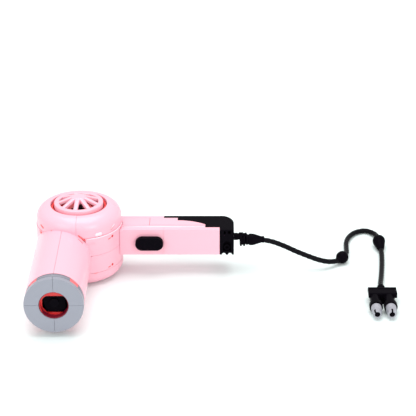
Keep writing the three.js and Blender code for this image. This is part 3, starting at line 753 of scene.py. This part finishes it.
# %% Dome and base quarters
def dome_quarter(start):
    """Skirt, ellipse, mouth and inner wall at each angle. The skirt's lower edge rises over the barrel."""
    a = np.radians(np.linspace(start + HAIR_ANGLE, start + 90 - HAIR_ANGLE, 60))[:, None]
    out_x = DOME_R * np.cos(a)
    reach = hole_edge(out_x)
    faces_barrel = (np.sin(a) < 0) & (reach > 0)
    low = np.where(faces_barrel, np.maximum(WALL_TOP + HAIR, BARREL_Z + reach), WALL_TOP + HAIR)
    skirt = np.hstack([low, np.maximum(low, SHOULDER_Z)])
    t_low = np.arcsin(np.clip((low - SHOULDER_Z) / (DOME_TOP - SHOULDER_Z), 0, 1))
    t = t_low + (np.pi / 2 - t_low) * np.linspace(0, 1, 26)[None, 1:]
    r = np.hstack([np.full_like(skirt, DOME_R), MOUTH_R + (DOME_R - MOUTH_R) * np.cos(t)])
    z = np.hstack([skirt, SHOULDER_Z + (DOME_TOP - SHOULDER_Z) * np.sin(t)])
    inner_r = np.broadcast_to([MOUTH_R, DOME_R - WALL, DOME_R - WALL], (len(a), 3))
    inner_z = np.hstack([np.full_like(low, SHOULDER_Z + 1), np.full_like(low, SHOULDER_Z), low])
    inner_z = np.maximum(inner_z, low)
    r, z = np.hstack([r, inner_r]), np.hstack([z, inner_z])
    return carried(np.stack([r * np.cos(a), r * np.sin(a), z], axis=-1))


base_profile = np.vstack([
    [(MOUTH_R, 0)],
    arc((MOUTH_R, BASE_ROUND), (DRUM_R - MOUTH_R, BASE_ROUND), -86, 0, 28),
    [(DRUM_R, BASE_TOP - HAIR), (DRUM_R - WALL, BASE_TOP - HAIR), (DRUM_R - WALL, WALL + 1), (MOUTH_R, WALL)],
])


def base_quarter(start):
    """The base profile at each angle, with its top edge kept under the barrel's hole."""
    a = np.radians(np.linspace(start + HAIR_ANGLE, start + 90 - HAIR_ANGLE, 60))[:, None]
    r, z = np.broadcast_arrays(base_profile[:, 0], base_profile[:, 1] + 0 * a)
    reach = hole_edge(r * np.cos(a))
    facing = (np.sin(a) < 0) & (reach > 0)
    z = np.where(facing, np.minimum(z, np.maximum(BARREL_Z - reach, 0.4 + 0.12 * z)), z)
    return carried(np.stack([r * np.cos(a), r * np.sin(a), z], axis=-1))


for side_name, start in QUARTERS.items():
    place(f"dome_quarter_{side_name}", dome_quarter(start), edge=0.25)
    place(f"base_quarter_{side_name}", base_quarter(start), edge=0.2)


# %% [markdown]
# The wall panels are curved slabs. Where the barrel meets the drum, a panel's lower or upper edge
# follows the barrel's circle: at a given x, the circle is the root of radius squared less the square
# of the distance to the barrel's axis. The panels stand a little proud of the dome.

# %% Wall panels
def wall_panel(z_low, z_high, start, end, upper):
    """A curved slab between two heights and two angles, with one edge on the barrel's circle."""
    a = np.radians(np.linspace(start, end, 100))
    rows = []
    for r in (DRUM_R, DRUM_R - WALL):
        x, y = r * np.cos(a), r * np.sin(a)
        reach = np.where(y < 0, hole_edge(x), 0)
        low, high = np.full_like(a, z_low), np.full_like(a, z_high)
        if upper:
            low = np.where(reach > 0, np.clip(BARREL_Z + reach, z_low, z_high - 0.05), low)
        else:
            high = np.where(reach > 0, np.clip(BARREL_Z - reach, z_low + 0.05, z_high), high)
        rows.append((np.stack([x, y, low], 1), np.stack([x, y, high], 1)))
    (outer_low, outer_high), (inner_low, inner_high) = rows
    return carried(np.stack([outer_low, outer_high, inner_high, inner_low], axis=1))


PANELS = {"front": (-78, 0), "rear": (0, 90), "left": (90, 220)}
COURSES = {"lower": (BASE_TOP, COURSE_Z), "upper": (COURSE_Z, WALL_TOP)}
for course, (z_low, z_high) in COURSES.items():
    for span, (start, end) in PANELS.items():
        angles = (start + HAIR_ANGLE, end - HAIR_ANGLE)
        panel = wall_panel(z_low + HAIR, z_high - HAIR, *angles, course == "upper")
        place(f"wall_{span}_{course}", panel, edge=0.42, steps=3)


# %% [markdown]
# Small marks show where bricks meet and where the red bricks inside peep out: a pin hole and a slot at
# the top and foot of the front wall, slits at the left and grooves. Pale strips along the wall's top edge,
# on a raised tab on the dome and beside the hook are painted highlights. Colours painted on the wall would
# be flat, so each mark is a thin strip on the surface, between two spots that are given by angle and height.

# %% Marks on the drum
def on_drum(u, z, lift):
    """The drum's outside at arc length u and height z: the wall, the skirt or the dome, plus a lift."""
    share = np.clip((z - SHOULDER_Z) / (DOME_TOP - SHOULDER_Z), 0, 1)
    r = np.where(z < WALL_TOP, DRUM_R, MOUTH_R + (DOME_R - MOUTH_R) * np.sqrt(1 - share**2)) + lift
    return np.stack([r * np.cos(u / DRUM_R), r * np.sin(u / DRUM_R), z], axis=-1)


def on_barrel(u, y, lift):
    """The barrel's outside at arc length u round its axis and distance y along it, plus a lift."""
    r, a = BARREL_R + lift, u / BARREL_R
    return np.stack([BARREL_X + r * np.cos(a), y, BARREL_Z + r * np.sin(a)], axis=-1)


STRIP_DEEP = 0.6  # a strip reaches this far into the wall


def strip(start, end, half, surface=on_drum, radius=None, proud=0.05, round_ends=False):
    """A strip between two spots (angle in degrees, height), half its width to each side of the line."""
    s = np.linspace(0, 1, 14)[:, None]
    ends = np.array([start, end], float)
    ends[:, 0] = np.radians(ends[:, 0]) * (radius or DRUM_R)
    path = ends[0] + s * (ends[1] - ends[0])
    across = np.array([ends[0, 1] - ends[1, 1], ends[1, 0] - ends[0, 0]])
    across /= np.linalg.norm(across)
    taper = np.interp(s, [0, 0.1, 0.9, 1], [0.3, 1, 1, 0.3])
    width = half * (np.sqrt(1 - (2 * s - 1) ** 2 * 0.98) if round_ends else taper)
    left, right = path + width * across, path - width * across
    outside = [surface(*left.T, proud), surface(*right.T, proud)]
    inside = [surface(*right.T, -STRIP_DEEP), surface(*left.T, -STRIP_DEEP)]
    return carried(np.stack(outside + inside, axis=1))


def mark(name, slot, *strips, material=None):
    """Strips as one piece that is laid on the drum or the barrel."""
    place(None, *strips, name=name, slot=slot, material=material, edge=0)


mark(
    "front_pin_holes",
    "red_plastic",
    strip((-38.6, 28.2), (-34.9, 28.2), 0.75, round_ends=True),
    strip((-40.0, 10.6), (-36.4, 10.6), 0.75, round_ends=True),
)
mark(
    "pin_slots",
    "red_plastic",
    strip((-44.8, 27.4), (-39.6, 27.8), 0.3),
    strip((-46.0, 9.9), (-41.2, 10.2), 0.3),
    strip((-67.5, 8.6), (-62.5, 8.6), 0.14),
    strip((-38, 32.2), (-31, 34.0), 0.13, proud=0.1),
    strip((-38, 32.2), (-36.6, 33.9), 0.16, proud=0.1),
    material=CORAL_AND_LIT_RED,
)
mark(
    "left_slits",
    "red_plastic",
    strip((-149.8, 34.1), (-141.8, 33.2), 0.6, proud=0.1),
    strip((-150.9, 30.4), (-140.6, 28.4), 0.85, proud=0.1),
    strip((113.6, -19.8), (110.4, -19.8), 0.45, on_barrel, BARREL_R, round_ends=True),
    material=CORAL_AND_LIT_RED,
)
# Painted highlights: the wall's top edge, the tab and the hook's edge are pale where light catches them.
mark(
    "painted_rim_highlights",
    "pink_plastic",
    strip((-76, 30.35), (-1.5, 30.35), 0.28, proud=0.12),
    strip((-64.6, 32.2), (-54, 32.2), 1.0, proud=0.4),
    strip((-38, 32.9), (-30, 34.6), 0.35, proud=0.15),
    material=PAINTED_HIGHLIGHT_PINK,
)
mark(
    "wall_grooves",
    "pink_plastic",
    strip((-74.5, 27.9), (-64, 27.9), 0.12, proud=0.12),
    strip((-74.5, 27.2), (-64, 27.2), 0.12, proud=0.12),
)
mark(
    "barrel_slits",
    "red_plastic",
    strip((54.6, -26.6), (40.8, -27.6), 0.3, on_barrel, BARREL_R),
    strip((-87.4, 33.2), (-77.4, 29.6), 0.42, proud=0.1),
    material=CORAL_AND_LIT_RED,
)


# %% [markdown]
# ## The grille wheel
# The intake grille is a toy wheel: a deep rim, a raised hub and nine spokes that slope down from the
# hub to the rim. Rim and hub are turned. A spoke is a rounded outline carried outwards, and the nine of
# them stand forty degrees apart. An Array modifier could repeat one spoke. Here rim, hub and spokes
# are one mesh, because they are one moulding that turns as one. The wheel rides on its own body.

# %% Grille wheel
WHEEL_R, HUB_TOP = 13.9, box_mm("grille_wheel")[1][2]
RIM_BOTTOM = box_mm("grille_wheel")[0][2]
RIM_IN, RIM_TOP, HUB_R = 11.1, 43.05, 4.2
SPOKES, FIRST_SPOKE = 9, -95.5


def spoke(angle):
    """A crowned outline of half-width 1.3 at the hub and 1.15 at the rim, sloping outwards."""
    reach = np.linspace(HUB_R - 1, RIM_IN + 0.8, 7)[:, None]
    half = np.interp(reach, [HUB_R, RIM_IN], [1.3, 1.15])
    heights = [HUB_TOP - 0.15, HUB_TOP - 0.3, RIM_TOP - 0.15]
    height = np.interp(reach, [HUB_R - 1, HUB_R, RIM_IN + 0.8], heights)
    side = np.array([-1, -0.92, -0.55, 0, 0.55, 0.92, 1, 1, -1])
    drop = np.array([-0.6, -0.28, -0.06, 0, -0.06, -0.28, -0.6, -2.0, -2.0])
    across, z = half * side, height + drop
    c, s = math.cos(angle), math.sin(angle)
    return carried(np.stack([reach * c - across * s, reach * s + across * c, z], axis=-1))


rim = [
    (RIM_IN, RIM_BOTTOM), (WHEEL_R, RIM_BOTTOM), (WHEEL_R, RIM_TOP - 0.5), (WHEEL_R - 0.2, RIM_TOP - 0.15),
    (WHEEL_R - 0.5, RIM_TOP), (RIM_IN + 0.5, RIM_TOP), (RIM_IN + 0.15, RIM_TOP - 0.12),
    (RIM_IN, RIM_TOP - 0.4),
]
HUB_BOTTOM = HUB_TOP - 3.4
hub = [
    (0, HUB_BOTTOM), (HUB_R, HUB_BOTTOM), (HUB_R, HUB_TOP - 0.5), (HUB_R - 0.5, HUB_TOP - 0.08),
    (HUB_R - 1.2, HUB_TOP), (0, HUB_TOP),
]
place(
    "grille_wheel",
    turned(rim, (0, 0, 0), (0, 0, 1), 108),
    turned(hub, (0, 0, 0), (0, 0, 1), 60),
    *[spoke(math.radians(FIRST_SPOKE + 360 / SPOKES * i)) for i in range(SPOKES)],
    body="grille",
    edge=0.1,
)


# %% [markdown]
# Between the spokes shows what the wheel stands on, a round red brick with a black half brick in front of
# it. The red brick is coral, a brighter red that paints the light falling into the gaps. The black half
# stands only under the front openings, which look dark, so it is partly brick and partly painted shade.
# They stay behind when the wheel turns, so they are pieces of their own on the drum's body.

# %% Bricks under the wheel
lo, hi = box_mm("hub_brick")
BLACK_HALF, BLACK_BACK = 4.0, -1.3
seat_r, seat_top = hi[0] - 0.1, hi[2] - 0.6
seat = [(0, lo[2]), (seat_r, lo[2]), (seat_r, seat_top - 0.4), (seat_r - 0.4, seat_top), (0, seat_top)]
# Partly painted shade: the black half stands only under the front openings.
black_x = (-BLACK_HALF, BLACK_HALF, BLACK_HALF, -BLACK_HALF)
black_face = list(zip(black_x, np.repeat((lo[1] + 0.9, BLACK_BACK), 2)))
place("hub_brick", slab(black_face, hi[2] - 3, hi[2]), edge=0.1)
# Painted light: the seat's coral is a brighter red for the lit gaps between the spokes.
seat_shell = turned(seat, (0, 0, 0), (0, 0, 1), 48)
place(None, seat_shell, name="hub_seat", slot="red_plastic", material=CORAL_AND_LIT_RED, edge=0.1)


# %% [markdown]
# ## The barrel
# Four shells make the barrel. Each is a slab bent round the barrel's axis, and its rear edge follows
# the drum: at a given x it starts where the drum's circle is, minus the root of radius squared less
# x squared. A tube cut by the drum would do the same with less control over where the points lie.

# %% Barrel shells
BARREL_BACK = 6.2  # the left side of the barrel ends this far in front of the drum's middle


def barrel_shell(start, end):
    """A quarter of the barrel, with its rear edge just inside the drum's circle."""
    a = np.radians(np.linspace(start, end, 48))
    rows = []
    for r in (BARREL_R, BARREL_R - WALL):
        x, z = BARREL_X + r * np.cos(a), BARREL_Z + r * np.sin(a)
        rear = -np.sqrt(np.maximum((DOME_R - 1) ** 2 - x**2, BARREL_BACK**2))
        rows.append((np.stack([x, rear, z], 1), np.stack([x, np.full_like(x, SHELL_Y), z], 1)))
    (outer_rear, outer_front), (inner_rear, inner_front) = rows
    return carried(np.stack([outer_rear, outer_front, inner_front, inner_rear], axis=1))


SHELL_HAIR = math.degrees(HAIR / BARREL_R)
SHELLS = {"top_right": 0, "top_left": 90, "bottom_left": 180, "bottom_right": 270}
for spot, start in SHELLS.items():
    place(f"barrel_shell_{spot}", barrel_shell(start + SHELL_HAIR, start + 90 - SHELL_HAIR), edge=0.25)


# %% [markdown]
# The nozzle ring is four quarter tiles with the small step that tiles have at their foot. The flange
# behind it is a ring with four notches, which its outer radius steps down into as the angle goes round.

# %% Nozzle ring and flange
def round_barrel(radius, distance, start, end, count):
    """A profile of radius and distance along the barrel, carried round the barrel's axis."""
    a = np.radians(np.linspace(start, end, count))[:, None]
    x, z = BARREL_X + radius * np.cos(a), BARREL_Z + radius * np.sin(a)
    return carried(np.stack([x, distance + 0 * a, z], axis=-1))


BORE_R = 8.0
TILE_STEP = 0.35
tile_r = np.array([BORE_R, BARREL_R, BARREL_R, BARREL_R - TILE_STEP, BARREL_R - TILE_STEP, BORE_R])
tile_y = np.array([NOZZLE_Y, NOZZLE_Y, FLANGE_Y - TILE_STEP, FLANGE_Y - TILE_STEP, FLANGE_Y, FLANGE_Y])
for spot, start in SHELLS.items():
    place(f"nozzle_tile_{spot}", round_barrel(tile_r, tile_y, start + 0.15, start + 89.85, 60), edge=0.2)

FLANGE_R, FLANGE_IN, LUG_FOOT = BARREL_R - 0.2, 9.9, 11.2
LUG_HALF = 10.8  # half of a notch, in degrees
angles = np.linspace(0, 360, 720, endpoint=False)
from_lug = np.minimum((angles - 45) % 90, (45 - angles) % 90)
outer = np.where(from_lug < LUG_HALF, LUG_FOOT, FLANGE_R)
around = np.stack([np.cos(np.radians(angles)), np.sin(np.radians(angles))], axis=1)
flange_rows = []
for r, y in ((outer, FLANGE_Y), (outer, SHELL_Y - 0.05), (FLANGE_IN, SHELL_Y - 0.05), (FLANGE_IN, FLANGE_Y)):
    ring = around * np.reshape(r, (-1, 1)) + [BARREL_X, BARREL_Z]
    flange_rows.append(np.stack([ring[:, 0], np.full(len(ring), y), ring[:, 1]], axis=1))
place("nozzle_flange", carried(np.stack(flange_rows, axis=1), loop=True), material=FLANGE_GREY, edge=0)


# %% [markdown]
# A red liner shows in two places: its four lugs between the ring and the shells, and its sleeve in the
# bore. The sleeve ends in a wall with a window on a straight sill, and a black brick fills it. A dark
# disc would do from the front, but the bore has to be deep from the side as well. The sleeve is a darker
# red that paints the shade inside the bore, and the wall is of the brighter red. A strip on the sleeve's
# left lip and a thin slab on the sill are painted highlights in the brighter red.

# %% Bore liner
SLEEVE_R, BORE_END = 7.95, 4.4
WINDOW_FRONT = NOZZLE_Y + BORE_END - 0.2
lug_reach, lug_half = (11.3, BARREL_R - 0.5), 2.8


def lug(angle):
    """A small block on the barrel, pointing away from its axis."""
    c, s = math.cos(math.radians(angle)), math.sin(math.radians(angle))
    near, far = lug_reach
    outline = np.array([(near, -lug_half), (near, lug_half), (far, lug_half), (far, -lug_half)])
    flat = outline @ np.array([[c, s], [-s, c]]) + [BARREL_X, BARREL_Z]
    return slab(flat, FLANGE_Y - 0.05, SHELL_Y + 0.6, "y")


place("bore_liner", *[lug(a) for a in (45, 135, 225, 315)], material=CORAL_AND_LIT_RED, edge=0.15)
SLEEVE_FRONT, SLEEVE_BACK, SLEEVE_IN = 0.55, BORE_END + 2, SLEEVE_R - 0.35
sleeve_profile = [
    (SLEEVE_R, SLEEVE_FRONT), (SLEEVE_R, SLEEVE_BACK), (SLEEVE_IN, SLEEVE_BACK), (SLEEVE_IN, SLEEVE_FRONT),
]
WINDOW_SILL, WINDOW_HEAD, WINDOW_LEFT, WINDOW_RIGHT, WINDOW_ROUND = -6.2, 3.6, -6.5, 7.2, 3.3
window = np.vstack([
    [(WINDOW_LEFT, -3.4), (-4.3, WINDOW_SILL), (5.0, WINDOW_SILL), (WINDOW_RIGHT, -3.2)],
    arc((WINDOW_RIGHT - WINDOW_ROUND, WINDOW_HEAD - WINDOW_ROUND), (WINDOW_ROUND, WINDOW_ROUND), 0, 90, 14),
    arc((WINDOW_LEFT + WINDOW_ROUND, WINDOW_HEAD - WINDOW_ROUND), (WINDOW_ROUND, WINDOW_ROUND), 90, 180, 14),
])
disc = arc((BARREL_X, BARREL_Z), (SLEEVE_R - 0.1, SLEEVE_R - 0.1), 0, 354, 60)
# Painted shade: the sleeve's darker red stands for the shade inside the bore.
place(
    None,
    turned(sleeve_profile, (BARREL_X, NOZZLE_Y, BARREL_Z), (0, 1, 0), 72),
    name="bore_sleeve",
    slot="red_plastic",
    material=SHADED_RED,
    edge=0.1,
)
place(
    None,
    pierced_plate([disc, window + [BARREL_X, BARREL_Z]], WINDOW_FRONT, WINDOW_FRONT + 0.8),
    name="window_wall",
    slot="red_plastic",
    edge=0.1,
)
# Painted highlights: a brighter red strip on the sleeve's left lip and a thin slab on the sill.
lip_r = np.array([7.45, 7.55, 7.55, 7.45])
lip_y = NOZZLE_Y + np.array([0.6, 0.6, 2.8, 2.8])
SILL_LEFT, SILL_RIGHT, SILL_TOP = -12.2, -3.2, WINDOW_SILL + BARREL_Z + 0.02
sill_foot = SILL_TOP - 0.42
sill = [(SILL_LEFT, sill_foot), (SILL_RIGHT, sill_foot), (SILL_RIGHT, SILL_TOP), (SILL_LEFT, SILL_TOP)]
place(
    None,
    round_barrel(lip_r, lip_y, 120, 212, 30),
    slab(sill, WINDOW_FRONT - 0.06, WINDOW_FRONT + 0.3, "y"),
    name="bore_highlights",
    slot="red_plastic",
    edge=0,
)


# %% [markdown]
# ## The handle
# The handle is a stack of flat panels, rails and tiles. Each is an outline carried straight. The ones
# that reach the drum have a curved end, which follows the drum's circle. Where a brick meets another
# inside the handle it is made a little longer, up to the outside of the handle and no further. A thin
# pale strip on the rail's front edge is a painted highlight, the light line that the edge catches.

# %% Handle panels
GROW = 0.11  # black bricks close their joints
OPEN_GROW = 0.03  # pink bricks on top leave a thin dark line
CLEAR = 0.1  # bricks stop this far from the drum's wall
HANDLE_LO = np.minimum(box_mm("front_panel_inner")[0], box_mm("end_brick")[0])
HANDLE_HI = np.maximum(box_mm("grip_rear")[1], box_mm("end_brick")[1])


def grown(node):
    """A CAD node's corners, moved outwards a little but not past the outside of the handle."""
    lo, hi = box_mm(node)
    by = OPEN_GROW if SLOT_OF[node] == "pink_plastic" and "front_panel" not in node else GROW
    return np.maximum(lo - by, HANDLE_LO), np.minimum(hi + by, HANDLE_HI)


def to_drum(node):
    """A slab the size of a CAD node, with its inner end on the drum's circle."""
    lo, hi = grown(node)
    y = np.linspace(lo[1], hi[1], 12)
    end = np.stack([np.sqrt((DRUM_R + CLEAR) ** 2 - y**2), y], axis=1)
    return slab(np.vstack([end, [(hi[0], hi[1]), (hi[0], lo[1])]]), lo[2], hi[2])


def block_of(node):
    """A plain slab the size of a CAD node."""
    lo, hi = grown(node)
    return slab([(lo[0], lo[1]), (hi[0], lo[1]), (hi[0], hi[1]), (lo[0], hi[1])], lo[2], hi[2])


for node in ("front_panel_inner", "top_tile_inner", "rear_panel", "bottom_tile"):
    place(node, to_drum(node))
for node in ("front_panel_outer", "grip_rear"):
    place(node, block_of(node))
lo, hi = grown("front_rail")
RAIL_END = 71.8
GRIP_LOW = box_mm("grip_top")[0][2] - GROW
inner = math.sqrt((DRUM_R + CLEAR) ** 2 - lo[1] ** 2)
rail = [
    (inner, lo[2]), (hi[0], lo[2]), (hi[0], GRIP_LOW), (RAIL_END, GRIP_LOW),
    (RAIL_END, hi[2]), (inner, hi[2]),
]
place("front_rail", slab(rail, lo[1], hi[1], "y"), edge=0.45, steps=3)
RIM_START, RIM_WIDE = 0.35, 1.0  # the painted highlight starts behind the front edge
(rim_x0, rim_x1), rim_y0 = (inner + 0.3, RAIL_END - 0.1), lo[1] + RIM_START
rim_y1 = rim_y0 + RIM_WIDE
# Painted highlight along the rail's front edge.
place(
    None,
    slab([(rim_x0, rim_y0), (rim_x1, rim_y0), (rim_x1, rim_y1), (rim_x0, rim_y1)], hi[2] - 0.3, hi[2] + 0.04),
    name="handle_painted_highlight",
    slot="pink_plastic",
    material=PAINTED_HIGHLIGHT_PINK,
    edge=0,
)


# %% [markdown]
# The pink tile and the black grip share a bowed edge, an arc that starts level and falls 5.4 mm over
# 15.8 mm. Its radius is the run squared plus the drop squared, over twice the drop. Both outlines use
# the same points, so the two edges stay a hair apart all the way.

# %% Curved tile and grip
GRIP_STEP = np.array([56.0, 4.6])
BOW_RUN, BOW_DROP = RAIL_END - GRIP_STEP[0], 5.4
BOW_R = (BOW_RUN**2 + BOW_DROP**2) / (2 * BOW_DROP)
bow = arc(GRIP_STEP - [0, BOW_R], (BOW_R, BOW_R), 90, 90 - math.degrees(math.asin(BOW_RUN / BOW_R)), 24)
lo, hi = grown("top_tile_outer")
TILE_GAP = 0.12  # the tile stops this far in front of the shared edge
tile_end = GRIP_STEP - TILE_GAP
tile_outline = np.vstack([
    [(lo[0], lo[1]), (lo[0], hi[1]), (tile_end[0], hi[1]), tile_end],
    bow - [0, TILE_GAP],
    [(RAIL_END, lo[1])],
])
place("top_tile_outer", slab(tile_outline, lo[2], hi[2]))
lo, hi = grown("grip_top")
hi[0] += GROW
grip_outline = np.vstack([
    [(GRIP_STEP[0] - GROW, hi[1]), GRIP_STEP - [GROW, GROW]],
    bow - [0, GROW],
    [(RAIL_END + 0.05, lo[1]), (hi[0], lo[1]), (hi[0], hi[1])],
])
place("grip_top", slab(grip_outline, lo[2], hi[2]))


# %% [markdown]
# The end brick shows its hollow side: an arch with a tube in it, two small slots above and a scalloped
# lower edge. It could be one block with Boolean cuts. A solid body with a rounded rear corner and a
# pierced plate in front of it give the same with clean, flat faces.

# %% End brick
SLOT_BOTTOM, SLOT_TOP = 26.1, 28.0
SLOT_SPANS = ((82.2, 83.3), (84.5, 86.1))


def rectangle(x0, x1, z0, z1):
    """The four corners of a rectangle."""
    return [(x0, z0), (x1, z0), (x1, z1), (x0, z1)]


lo, hi = box_mm("end_brick")
lo[0] -= GROW
PLATE_Y = lo[1] + 2.2
CORNER, CORNER_DEEP = 7.0, 9.8
body_outline = np.vstack([
    [(lo[0], PLATE_Y - 0.02), (hi[0], PLATE_Y - 0.02)],
    arc((hi[0] - CORNER, hi[1] - CORNER_DEEP), (CORNER, CORNER_DEEP), 0, 90, 28),
    [(lo[0], hi[1])],
])
ARCH_X, ARCH_HALF, ARCH_FOOT, ARCH_SPRING = (lo[0] + hi[0]) / 2 + 0.1, 2.4, 15.4, 19.2
TUBE_Z = 17.6
scallops = [arc((x, lo[2]), (1.1, 1.1), 180, 0, 13) for x in (ARCH_X - 1.75, ARCH_X + 1.75)]
plate_outline = np.vstack([[(lo[0], hi[2]), (lo[0], lo[2])], *scallops, [(hi[0], lo[2]), (hi[0], hi[2])]])
arch = np.vstack([
    arc((ARCH_X, ARCH_SPRING), (ARCH_HALF, ARCH_HALF), 0, 180, 25),
    [(ARCH_X - ARCH_HALF, ARCH_FOOT), (ARCH_X + ARCH_HALF, ARCH_FOOT)],
])
slots = [rectangle(x0, x1, SLOT_BOTTOM, SLOT_TOP) for x0, x1 in SLOT_SPANS]
tube = [(0, 0), (1.7, 0), (1.7, 1.9), (1.0, 1.9), (1.0, 0.5), (0, 0.5)]
place(
    "end_brick",
    slab(body_outline, lo[2], hi[2]),
    pierced_plate([plate_outline, arch, *slots], lo[1], PLATE_Y),
    turned(tube, (ARCH_X, PLATE_Y, TUBE_Z), (0, -1, 0), 32),
    edge=0.15,
)


# %% [markdown]
# The switch is a pill-shaped tile, one stud wide and two long, pressed on the front panel. Its outline
# is two half circles, and a wide rounded edge makes it soft.

# %% Switch cap
lo, hi = box_mm("switch_cap")
PILL_R = (hi[2] - lo[2]) / 2
PILL_Z = (hi[2] + lo[2]) / 2
pill = np.vstack([
    arc((hi[0] - PILL_R, PILL_Z), (PILL_R, PILL_R), -90, 90, 32),
    arc((lo[0] + PILL_R, PILL_Z), (PILL_R, PILL_R), 90, 270, 32),
])
place("switch_cap", slab(pill, lo[1], hi[1] + 0.08, "y"), edge=0.45, steps=4)


# %% [markdown]
# ## What stays as it is
# The bricks inside and the round foot are simple shapes that are only seen through gaps, so their CAD
# meshes stay. Each of them gets the finish of its own slot.

# %% Finish the CAD nodes that stay
for name, node in frame["nodes"].items():
    for slot in node.material_slots:
        slot.material = BY_SLOT[SLOT_OF[name]]
print("CAD nodes with their own finish:", len(frame["nodes"]))


# %% [markdown]
# ## Studio
# The toy stands on a plain white sweep. A soft light hangs above and a little behind, so that the tops
# are bright and the fronts are in a soft shade. Two more fill from the front, and a white world fills
# the rest, so shadows are short and pale. A single sun would be simpler, but its shadows are hard.

# %% Floor and lights
FLOOR_WHITE = (0.845, 0.93, 0.915)
WORLD_STRENGTH = 0.78
floor_data = bpy.data.meshes.new("floor")
floor_data.from_pydata([(-4, -3, 0), (4, -3, 0), (4, 5, 0), (-4, 5, 0)], [], [(0, 1, 2, 3)])
floor = bpy.data.objects.new("floor", floor_data)
bpy.context.scene.collection.objects.link(floor)
white = bpy.data.materials.new("white_sweep")
white.use_nodes = True
sweep_shader = white.node_tree.nodes["Principled BSDF"]
sweep_shader.inputs["Base Color"].default_value = (*FLOOR_WHITE, 1)
sweep_shader.inputs["Roughness"].default_value = 0.7
floor_data.materials.append(white)


def area_light(name, spot, aim, size, power):
    """A square soft light at a spot, turned to look at a point."""
    data = bpy.data.lights.new(name, "AREA")
    data.size, data.energy = size, power
    light = bpy.data.objects.new(name, data)
    light.location = spot
    light.rotation_euler = (Vector(aim) - Vector(spot)).to_track_quat("-Z", "Y").to_euler()
    bpy.context.scene.collection.objects.link(light)


LIGHTS = {  # where each light is, what it looks at, its size in metres and its power in watts
    "overhead": ((0.05, 0.1, 1.1), (0.06, 0, 0), 0.95, 8.6),
    "front_left": ((-0.8, -0.9, 0.7), (0.02, 0, 0.02), 0.8, 4),
    "front_right": ((0.8, -1.0, 0.5), (0.02, 0, 0.02), 0.6, 4.5),
}
for name, settings in LIGHTS.items():
    area_light(name, *settings)
world = bpy.data.worlds.new("studio")
world.use_nodes = True
background = world.node_tree.nodes["Background"]
background.inputs["Color"].default_value = (1, 1, 1, 1)
background.inputs["Strength"].default_value = WORLD_STRENGTH
bpy.context.scene.world = world
bpy.context.scene.view_settings.view_transform = "Standard"
print("lights:", sorted(LIGHTS))
